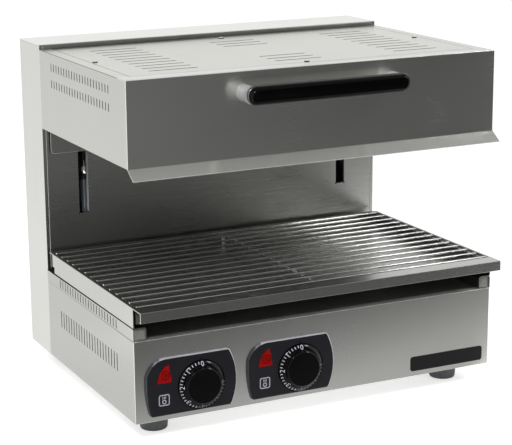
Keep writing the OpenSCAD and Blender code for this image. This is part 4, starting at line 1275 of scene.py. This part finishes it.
    def lens_rings(self) -> None:
        """Moulded rings on the lens."""
        low, _ = self.lens_box()
        rings = Piece(f"lens_rings_{self.side}")
        middle = facing_front(low.x + self.ring_place[0], low.y + 0.1 * MM, low.z + self.ring_place[1])
        for radius in self.rings:
            # just short of a full turn, so that the two ends don't touch
            ring = BentBar((radius, 0, 0), (0, 1, 0), 0.6 * MM, sides=6)
            ring.turn((-1, 0, 0), radius, angle=359.9, steps=40)
            rings.add(ring.done(), middle)
        rings.finish(RED_DEEP, "base", "red_lens")

    def outline(self, deep: float, top: float) -> Outline:
        """Half outline of the knob, from the middle of its back to the middle of its face.

        Args:
            deep: depth of the knob.
            top: height of the top of its cone.

        Returns:
            Radius and height of each corner.
        """
        cone = [(self.skirt + (self.waist - self.skirt) * part,
                 self.rim + (top - self.rim) * part + self.bulge * part * (1.0 - part))
                for part in (0.0, 0.2, 0.4, 0.6, 0.8, 1.0)]
        return [(0.0, 0.0), (self.skirt, 0.0), *cone,
                (self.waist - 0.8 * MM, top), (self.waist - 1.2 * MM, deep - 1.2 * MM),
                (self.face - 1.2 * MM, deep - 0.1 * MM), (self.face - 2.4 * MM, deep - 0.3 * MM),
                (0.0, deep - 0.3 * MM)]

    def knob(self) -> None:
        """Turns the knob, with its glossy skirt and its flat face."""
        low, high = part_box(f"control_knob_{self.side}")
        deep = high.y - low.y
        top = deep / 2 + 0.6 * MM
        centre = self.centre()
        body = f"knob_{self.side}"
        place = facing_front(centre.x, high.y, centre.z)
        skirt = Piece(f"knob_skirt_{self.side}")
        skirt.add(turned(self.outline(deep, top), steps=96, soften=0.45 * MM), place)
        skirt.finish(KNOB_BLACK, body, "black_gloss", [f"control_knob_{self.side}"])
        face = Piece(f"knob_face_{self.side}")
        radius, back = self.face - 1.7 * MM, deep - 1.0 * MM
        disc = [(0.0, back), (radius, back), (radius, deep - 0.12 * MM), (0.0, deep - 0.05 * MM)]
        face.add(turned(disc, steps=72, soften=0.1 * MM), place)
        face.finish(FACE_BLACK, body, "black_gloss")
        self.dial(place, top)

    def dial(self, place: Matrix, top: float) -> None:
        """Numbers and fine marks on the cone of the skirt.

        Args:
            place: where the knob stands.
            top: height of the cone's top.
        """
        slope = math.atan2(top - self.rim, self.skirt - self.waist)
        lean = Matrix.Rotation(-slope, 4, "X")
        marks, shaded_marks = Piece(f"dial_marks_{self.side}"), Piece(f"dial_shaded_marks_{self.side}")
        for index in range((self.steps - 1) * self.ticks + 1):
            number, fine = divmod(index, self.ticks)
            # The later marks, from six o'clock round to three, take the darker print, which is painted shade.
            group = shaded_marks if index >= self.worn_from else marks
            radius = self.marks if fine else self.numbers
            height = self.rim + (self.skirt - radius) * math.tan(slope) + self.bulge / 4
            turn = Matrix.Rotation(math.radians(index * self.spread / self.ticks), 4, "Z")
            spot = place @ turn @ Matrix.Translation((0, radius, height + 0.05 * MM)) @ lean
            if fine:
                group.add(box_mesh((1.1 * MM, 3.8 * MM, 0.16 * MM)), spot)
            else:
                group.add(self.numeral(str(number)), spot)
        marks.finish(DIAL_WHITE, f"knob_{self.side}", "black_gloss")
        shaded_marks.finish(DIAL_SHADED, f"knob_{self.side}", "black_gloss")

    def numeral(self, text: str) -> BMesh:
        """One number as a flat mesh in the XY plane.

        Args:
            text: the number.

        Returns:
            The mesh.
        """
        curve = bpy.data.curves.new("numeral", "FONT")
        curve.body, curve.size, curve.extrude = text, self.number_size, 0.06 * MM
        curve.align_x, curve.align_y = "CENTER", "CENTER"
        holder = bpy.data.objects.new("numeral", curve)
        bpy.context.scene.collection.objects.link(holder)
        bpy.context.view_layer.update()
        mesh = bpy.data.meshes.new_from_object(holder.evaluated_get(bpy.context.evaluated_depsgraph_get()))
        bm = bmesh.new()
        bm.from_mesh(mesh)
        bpy.data.objects.remove(holder)
        bpy.data.curves.remove(curve)
        bpy.data.meshes.remove(mesh)
        bmesh.ops.remove_doubles(bm, verts=bm.verts, dist=WELD)
        return bm

    def build(self) -> None:
        """Builds the whole control."""
        self.bezel()
        self.print_symbol()
        self.lens_rings()
        self.knob()


@dataclass
class ControlPanel:
    """Both controls with what lies behind them, and the blank plate.

    Attributes:
        lens_edge: round on the front edges of the lenses, in metres.
        plate_corner: round on the corners of the blank plate.
        plate_edge: round on its front edge.
    """

    lens_edge: float = 0.7 * MM
    plate_corner: float = 4.0 * MM
    plate_edge: float = 0.5 * MM

    def lenses(self) -> None:
        """Rounds the front edges of the two lenses."""
        low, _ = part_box("indicator_lenses")
        piece = Piece.from_node("indicator_lenses_rounded", "indicator_lenses")
        piece.round_over(self.lens_edge, lambda edge: at_depth(edge, low.y))
        piece.finish(RED_LENS, "base", "red_lens", ["indicator_lenses"], smooth=None)

    def blank_plate(self) -> None:
        """A bare satin-black plate with round corners and a softened front edge."""
        low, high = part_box("badge_plate")
        size = high - low
        piece = Piece("blank_plate")
        bm = box_mesh((size.x, size.y, size.z))
        corners = [e for e in bm.edges if abs(e.verts[0].co.y - e.verts[1].co.y) > 0.5 * size.y]
        bevel(bm, corners, self.plate_corner, 5)
        bevel(bm, [e for e in sharp(bm, 60) if all(v.co.y < 0 for v in e.verts)], self.plate_edge, 2)
        piece.add(bm, Matrix.Translation((low + high) / 2))
        piece.finish(PLATE_BLACK, "base", "black_gloss", ["badge_plate"], smooth=None)

    def build(self) -> None:
        """Builds the panel."""
        for side in Side:
            Control(side).build()
        self.lenses()
        self.blank_plate()
        dress(BRIGHT, "regulator_shaft_left", "regulator_shaft_right")
        dress(HEAT_PLASTIC, "energy_regulator_left", "energy_regulator_right")
        dress(RED_LENS, "indicator_lamps")


# ---------------------------------------------------------------- lift


@dataclass
class Lift:
    """Struts, arms, carriages and guide rods in the column.

    Attributes:
        collar: height of the black collar on a strut's tube.
        tube: radius of a strut's tube.
        bore: radius of the hole that the rod slides in.
        mouth: depth of that hole.
        nut: height of a lock nut.
        root: radius of the thread over the nut at its root.
        crest: radius at its crest.
        turns: number of its turns.
        pitch: height of one turn.
    """

    collar: float = 9.0 * MM
    tube: float = 7.5 * MM
    bore: float = 4.3 * MM
    mouth: float = 6.0 * MM
    nut: float = 12.0 * MM
    root: float = 3.6 * MM
    crest: float = 4.0 * MM
    turns: int = 10
    pitch: float = 1.0 * MM

    def strut(self, side: Side) -> None:
        """Tube with a rolled-in mouth, and its collar.

        Args:
            side: its side of the melter.
        """
        low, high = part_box(f"strut_tube_{side}")
        x, y = (low.x + high.x) / 2, (low.y + high.y) / 2
        foot = high.z - low.z - self.collar
        profile = [(self.bore, self.mouth), (self.bore, 0.5 * MM), (self.bore + 0.6 * MM, 0.0),
                   (self.tube - 1.5 * MM, 0.0), (self.tube, 1.8 * MM), (self.tube, foot - 1 * MM),
                   (self.tube - 1 * MM, foot), (0.0, foot), (0.0, self.mouth), (self.bore, self.mouth)]
        tube = Piece(f"strut_tube_{side}_drawn")
        tube.add(turned(profile, steps=40), Matrix.Translation((x, y, low.z)))
        tube.finish(STRUT_PAINT, "hood", "strut_paint", [f"strut_tube_{side}"])
        cap = Piece(f"strut_collar_{side}")
        wide = (high.x - low.x) / 2
        profile = [(0.0, 0.0), (wide, 0.0), (wide, self.collar), (0.0, self.collar)]
        cap.add(turned(profile, steps=40, soften=1.0 * MM), Matrix.Translation((x, y, high.z - self.collar)))
        cap.finish(FITTING_BLACK, "hood", "strut_paint")

    def nuts(self) -> None:
        """Chamfered lock nuts on their threaded ends."""
        low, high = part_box("strut_lock_nuts")
        tube_low, tube_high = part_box("strut_tube_right")
        middle_x, middle_y = (tube_low.x + tube_high.x) / 2, (low.y + high.y) / 2
        inside, end = self.nut - self.pitch, self.nut + self.turns * self.pitch
        thread = [(0.0, inside), (self.root, inside)]
        for turn in range(self.turns):
            foot = self.nut + turn * self.pitch
            thread += [(self.root, foot), (self.crest, foot + self.pitch / 2)]
        thread += [(self.root, end), (0.0, end)]
        piece = Piece("strut_nuts")
        for side in (-1, 1):
            place = Matrix.Translation((side * middle_x, middle_y, low.z))
            piece.add(prism(6, high.x - middle_x, self.nut, 0.7 * MM), place)
            piece.add(turned(thread, steps=24), place)
        piece.finish(BRIGHT, "hood", "bright_steel", ["strut_lock_nuts"])

    def build(self) -> None:
        """Builds the struts and dresses the rest."""
        for side in Side:
            self.strut(side)
        self.nuts()
        dress(BRIGHT, "strut_rod_left", "strut_rod_right")
        dress(FITTING_BLACK, "strut_end_fittings")
        dress(GROUND_STEEL, "guide_rods")
        dress(CARRIAGE, "carriage_block_left", "carriage_block_right")
        dress(BRONZE, "carriage_bushes")
        dress(INNER_STEEL, "lift_arm_left", "lift_arm_right", "guide_rod_mounts", "strut_base_brackets")
        dress(GALVANISED, "arm_bolts")


# ---------------------------------------------------------------- heating and supply


class Heating:
    """Elements, reflector and their fixings under the hood."""

    def build(self) -> None:
        """Dresses the nodes."""
        dress(SHEATH, "heating_element_left", "heating_element_right")
        dress(INNER_STEEL, "reflector", "element_hangers")
        dress(CERAMIC, "element_terminals")


class Supply:
    """Terminals and gland of the supply."""

    def build(self) -> None:
        """Dresses the nodes."""
        dress(HEAT_PLASTIC, "terminal_block")
        dress(FITTING_BLACK, "cable_gland")


# ---------------------------------------------------------------- feet and screws


@dataclass
class Feet:
    """Rubber feet with a rounded tread.

    Attributes:
        wide: radius of a foot at its top.
        narrow: radius where it stands.
        boss: radius of the raised middle of its top.
        boss_rise: height of that middle.
        well: radius of the hole that the screw's head sinks into.
        well_depth: depth of that hole.
        screw: radius of the screw's own hole.
    """

    wide: float = 22.5 * MM
    narrow: float = 20.5 * MM
    boss: float = 10.0 * MM
    boss_rise: float = 1.2 * MM
    well: float = 6.0 * MM
    well_depth: float = 9.0 * MM
    screw: float = 2.7 * MM

    def build(self) -> None:
        """Turns the four feet."""
        low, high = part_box("rubber_feet")
        wide, narrow, top = self.wide, self.narrow, high.z - self.boss_rise
        profile = [(self.well, self.well_depth), (self.well, 0.6 * MM),
                   (narrow - 2.5 * MM, 0.0), (narrow - 0.8 * MM, 0.7 * MM), (narrow, 2.6 * MM),
                   (wide - 0.6 * MM, top - 8 * MM), (wide, top - 6 * MM), (wide, top - 1 * MM),
                   (wide - 1 * MM, top), (self.boss, top), (self.boss, high.z), (self.screw, high.z),
                   (self.screw, self.well_depth), (self.well, self.well_depth)]
        piece = Piece("feet_moulded")
        for x in (low.x + wide, high.x - wide):
            for y in (low.y + wide, high.y - wide):
                piece.add(turned(profile, soften=0.5 * MM), Matrix.Translation((x, y, 0.0)))
        piece.finish(RUBBER, "base", "foot_rubber", ["rubber_feet"])
        dress(GALVANISED, "foot_screws")


@dataclass
class DomedScrews:
    """Domed screws with a shallow recess, on the hood's cover and on the column's back.

    Attributes:
        head: radius of a head.
        height: height of a head.
        shank: radius of a shank.
        recess: radius of the recess.
        cover_shank: length of the shanks in the hood's cover.
        back_shank: length of the shanks in the column's back.
    """

    head: float = 4.0 * MM
    height: float = 2.0 * MM
    shank: float = 2.0 * MM
    recess: float = 1.1 * MM
    cover_shank: float = 2.4 * MM
    back_shank: float = 1.2 * MM

    def profile(self, length: float) -> Outline:
        """Outline of a screw from its recess to the end of its shank.

        Args:
            length: length of the shank.

        Returns:
            Radius and height of each corner.
        """
        crown = [(0.5, 1.0), (0.72, 0.88), (0.9, 0.6), (1.0, 0.2), (1.0, 0.0)]
        return [(0.0, self.height - 0.15 * MM), (self.recess - 0.2 * MM, self.height - 0.1 * MM),
                (self.recess, self.height), *((self.head * wide, self.height * high) for wide, high in crown),
                (self.shank, 0.0), (self.shank, -length), (0.0, -length)]

    def row(self, name: str, node: str, places: Sequence[Point], axis: Point, body: str,
            length: float) -> None:
        """Makes one group of screws, with a painted shade ring round each head and the painted-highlight
        steel on the rest.

        Args:
            name: name of the piece.
            node: CAD node that it replaces.
            places: where the heads sit.
            axis: direction in which they point.
            body: CAD body that they move with.
            length: length of the shanks.
        """
        piece = Piece(name)
        for place in places:
            piece.add(turned(self.profile(length), steps=24), facing(axis, place))
        up = Vector(axis)
        # Painted shade on the sides of each dome, and a painted highlight on the rest.
        piece.paint(SHADE_LINE_STEEL, lambda f: -0.05 < f.normal.dot(up) < 0.5)
        piece.finish(HIGHLIGHT_STEEL, body, "inner_steel", [node])

    def build(self) -> None:
        """Makes both groups."""
        low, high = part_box("hood_top_screws")
        seat = high.z - self.height
        x, y0, y1 = high.x - self.head, low.y + self.head, high.y - self.head
        middle = (y0 + y1) / 2
        places = [(-x, middle, seat), (x, middle, seat), (0, y0, seat), (0, y1, seat)]
        self.row("top_cover_screws_domed", "hood_top_screws", places, (0, 0, 1), "hood", self.cover_shank)
        low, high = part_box("back_cover_screws")
        x, z0, z1 = high.x - self.head, low.z + self.head, high.z - self.head
        heights = [z0 + i * (z1 - z0) / 3 for i in range(4)]
        places = [(side * x, high.y - self.height, z) for side in (-1, 1) for z in heights]
        self.row("back_screws_domed", "back_cover_screws", places, (0, 1, 0), "base", self.back_shank)


# ---------------------------------------------------------------- studio and camera


@dataclass
class Studio:
    """Pale floor, soft light, and the dim room in front that bare metal mirrors.

    Attributes:
        level: strength of the even light all round.
        floor_lift: how much the floor is lifted towards white where it is seen.
        room_tone: brightness of the room in front, as metal sees it.
        near_tone: brightness of the floor close in front, as metal sees it.
        side_tone: brightness of the panel at the front left, as metal sees it.
        ceiling_tone: brightness of the ceiling, as metal sees it.
        near: distance in front at which the floor starts to darken.
        far: distance at which it is as dark as the room.
        back_tone: how much brighter the far room is on the left.
        fall_off: how much darker the room gets towards the right.
        skew: how much the way ahead leans to the right.
        far_room: distances ahead between which the room takes its far tone.
        right_room: distances to the right between which it gets darker.
        floor_radius: radius of the floor.
        wall: distance of the wall that only reflections see.
        wall_height: its height.
        ceiling_radius: radius of the ceiling.
        ceiling_height: its height.
    """

    level: float = 0.62
    floor_lift: float = 0.58
    room_tone: float = 0.135
    near_tone: float = 0.64
    side_tone: float = 1.6
    ceiling_tone: float = 0.55
    near: float = 0.25
    far: float = 0.62
    back_tone: float = 0.1
    fall_off: float = 0.16
    skew: float = 0.27
    far_room: tuple[float, float] = (0.9, 1.9)
    right_room: tuple[float, float] = (0.5, 1.9)
    floor_radius: float = 9.0
    wall: float = 4.2
    wall_height: float = 3.2
    ceiling_radius: float = 4.3
    ceiling_height: float = 3.3

    def seen(self, bench: Bench) -> Signal:
        """1 for what the camera, a reflection or clear plastic shows, and 0 for plain light.

        Args:
            bench: builds the nodes.

        Returns:
            The signal.
        """
        rays = [bench.node("ShaderNodeLightPath", {}, {}, name)
                for name in ("Is Camera Ray", "Is Glossy Ray", "Is Transmission Ray")]
        return (rays[0] + rays[1] + rays[2]).limited()

    def world(self) -> None:
        """White all round for what is seen, and an even soft light for the rest."""
        world = bpy.data.worlds.new("studio_air")
        bpy.context.scene.world = world
        world.use_nodes = True
        bench = Bench(world.node_tree)
        seen = self.seen(bench)
        strength = seen + (1.0 - seen) * self.level
        light = bench.node("ShaderNodeBackground", {}, {"Color": (1.0, 1.0, 1.0), "Strength": strength})
        bench.node("ShaderNodeOutputWorld", {}, {0: light})

    def floor(self) -> None:
        """A wide pale floor that keeps the soft shadow."""
        bm = bmesh.new()
        bmesh.ops.create_circle(bm, cap_ends=True, radius=self.floor_radius, segments=64)
        material, bench = new_material("pale_floor")
        tone = bench.mix(bench.noise([0.6] * 3, seed=3.0), (0.8, 0.8, 0.79), (0.83, 0.83, 0.825))
        matt = bench.node("ShaderNodeBsdfDiffuse", {}, {"Color": tone})
        lift = bench.node("ShaderNodeEmission", {}, {"Strength": self.seen(bench) * self.floor_lift})
        both = bench.node("ShaderNodeAddShader", {}, {0: matt, 1: lift})
        bench.node("ShaderNodeOutputMaterial", {}, {0: both})
        self.stage("floor", bm, material)

    def sector(self, name: str, start: float, sweep: float, inner: float,
               strength: Callable[[Bench], Value]) -> None:
        """A part-turn of far floor and wall round the melter, which only reflections see.

        Args:
            name: name of the stage object.
            start: where it starts, in degrees from the front towards the right.
            sweep: how far it goes, in degrees.
            inner: distance from the middle at which its floor starts.
            strength: makes its brightness.
        """
        bm = bmesh.new()
        lift = 2.0 * MM
        places = ((0, -inner, lift), (0, -self.wall, lift), (0, -self.wall, self.wall_height))
        ends = [bm.verts.new(place) for place in places]
        for first, last in zip(ends, ends[1:]):
            bm.edges.new((first, last))
        bmesh.ops.rotate(bm, verts=bm.verts, cent=(0, 0, 0),
                         matrix=Matrix.Rotation(math.radians(start), 3, "Z"))
        bmesh.ops.spin(bm, geom=bm.verts[:] + bm.edges[:], cent=(0, 0, 0), axis=(0, 0, 1), dvec=(0, 0, 0),
                       angle=math.radians(sweep), steps=24, use_merge=False, use_duplicate=False)
        self.mirrored(name, bm, strength)

    def room_light(self, bench: Bench) -> Signal:
        """Brightness of the room in front: it falls off with the distance, and to the right.

        Args:
            bench: builds the nodes.

        Returns:
            The brightness.
        """
        where = bench.place()
        across = bench.node("ShaderNodeSeparateXYZ", {}, {0: where}, "X")
        ahead = 0.0 - bench.node("ShaderNodeSeparateXYZ", {}, {0: where}, "Y") - across * self.skew
        change = self.back_tone - self.fall_off * across.ramp(*self.right_room)
        room = self.room_tone + ahead.ramp(*self.far_room) * change
        fall = ahead.ramp(self.near, self.far)
        return self.near_tone - fall * (self.near_tone - room)

    def room(self) -> None:
        """The dim room in front, and a bright panel at the front left that draws out the folds."""
        self.sector("dim_room", -50.0, 100.0, self.near, self.room_light)
        self.sector("bright_side", -120.0, 70.0, 0.5, lambda bench: self.side_tone)

    def ceiling(self) -> None:
        """A pale grey ceiling, which only reflections see."""
        bm = bmesh.new()
        bmesh.ops.create_circle(bm, cap_ends=True, radius=self.ceiling_radius, segments=48,
                                matrix=Matrix.Translation((0, 0, self.ceiling_height)))
        self.mirrored("grey_ceiling", bm, lambda bench: self.ceiling_tone)

    def stage(self, name: str, bm: BMesh, material: bpy.types.Material) -> bpy.types.Object:
        """Makes an object that isn't part of the melter.

        Args:
            name: its name.
            bm: its mesh.
            material: its material.

        Returns:
            The object.
        """
        mesh = bpy.data.meshes.new(name)
        bm.to_mesh(mesh)
        bm.free()
        mesh.materials.append(material)
        item = bpy.data.objects.new(name, mesh)
        bpy.context.scene.collection.objects.link(item)
        return item

    def mirrored(self, name: str, bm: BMesh, strength: Callable[[Bench], Value]) -> None:
        """Makes a glowing stage object that nothing but reflections sees.

        Args:
            name: its name.
            bm: its mesh.
            strength: makes its brightness.
        """
        material, bench = new_material(name)
        glow = bench.node("ShaderNodeEmission", {}, {"Strength": strength(bench)})
        bench.node("ShaderNodeOutputMaterial", {}, {0: glow})
        item = self.stage(name, bm, material)
        item.visible_camera = False
        item.visible_diffuse = False
        item.visible_transmission = False
        item.visible_shadow = False

    def lamp(self, name: str, place: Point, target: Point, size: float, power: float) -> None:
        """A square soft lamp that points at a target.

        Args:
            name: its name.
            place: where it hangs.
            target: what it points at.
            size: length of its sides.
            power: its power in watts.
        """
        data = bpy.data.lights.new(name, "AREA")
        data.shape, data.size, data.energy = "SQUARE", size, power
        lamp = bpy.data.objects.new(name, data)
        bpy.context.scene.collection.objects.link(lamp)
        lamp.location = place
        lamp.rotation_euler = (Vector(target) - Vector(place)).to_track_quat("-Z", "Y").to_euler()

    def build(self) -> None:
        """Builds the studio."""
        self.world()
        self.floor()
        self.room()
        self.ceiling()
        middle = (0.0, 0.0, 0.3)
        self.lamp("key_lamp", (-1.6, -1.8, 2.2), middle, 0.5, 28.0)
        self.lamp("fill_lamp", (1.9, -1.2, 1.9), middle, 0.55, 14.0)


@dataclass
class PhotoCamera:
    """Camera at the viewing angle of the reference picture.

    Attributes:
        place: where it stands, in metres.
        azimuth: its direction round the object, in degrees.
        elevation: its height above the horizon, in degrees.
        roll: its tilt about the viewing axis, in radians.
        sensor: width of its sensor, in millimetres.
        lens: focal length, in millimetres.
        shift: shift across and up, as parts of the picture's width.
    """

    place: tuple[float, float, float] = (-1.12260, -2.26146, 0.87190)
    azimuth: float = -25.2107
    elevation: float = 14.6028
    roll: float = -0.0121
    sensor: float = 36.0
    lens: float = 115.393
    shift: tuple[float, float] = (0.06409, 0.03831)

    def build(self) -> None:
        """Makes it the scene's camera."""
        a, e = math.radians(self.azimuth), math.radians(self.elevation)
        back = Vector((math.sin(a) * math.cos(e), -math.cos(a) * math.cos(e), math.sin(e)))
        right = Vector((math.cos(a), math.sin(a), 0.0))
        up = back.cross(right)
        cosine, sine = math.cos(self.roll), math.sin(self.roll)
        x, y = cosine * right + sine * up, cosine * up - sine * right
        data = bpy.data.cameras.new("photo_camera")
        data.sensor_width, data.lens = self.sensor, self.lens
        data.shift_x, data.shift_y = self.shift
        camera = bpy.data.objects.new("photo_camera", data)
        bpy.context.scene.collection.objects.link(camera)
        turn = Matrix((x, y, back)).transposed().to_4x4()
        camera.matrix_world = Matrix.Translation(self.place) @ turn
        bpy.context.scene.camera = camera


def corners(box: Sequence[Vector]) -> list[list[float]]:
    """A box as plain lists of numbers."""
    return [list(corner) for corner in box]


def main() -> None:
    """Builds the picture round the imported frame."""
    logging.basicConfig(level=logging.INFO, format="%(name)s %(message)s")
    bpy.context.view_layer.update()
    bpy.context.scene.view_settings.view_transform = "Standard"
    PhotoCamera().build()
    Studio().build()
    for make in (Casing, PanAndGrid, HoodHandle, ControlPanel, Lift, Heating, Supply, Feet, DomedScrews):
        assembly = make()
        assembly.build()
        log.info("%s is built", type(assembly).__name__)


if __name__ == "__main__":
    main()
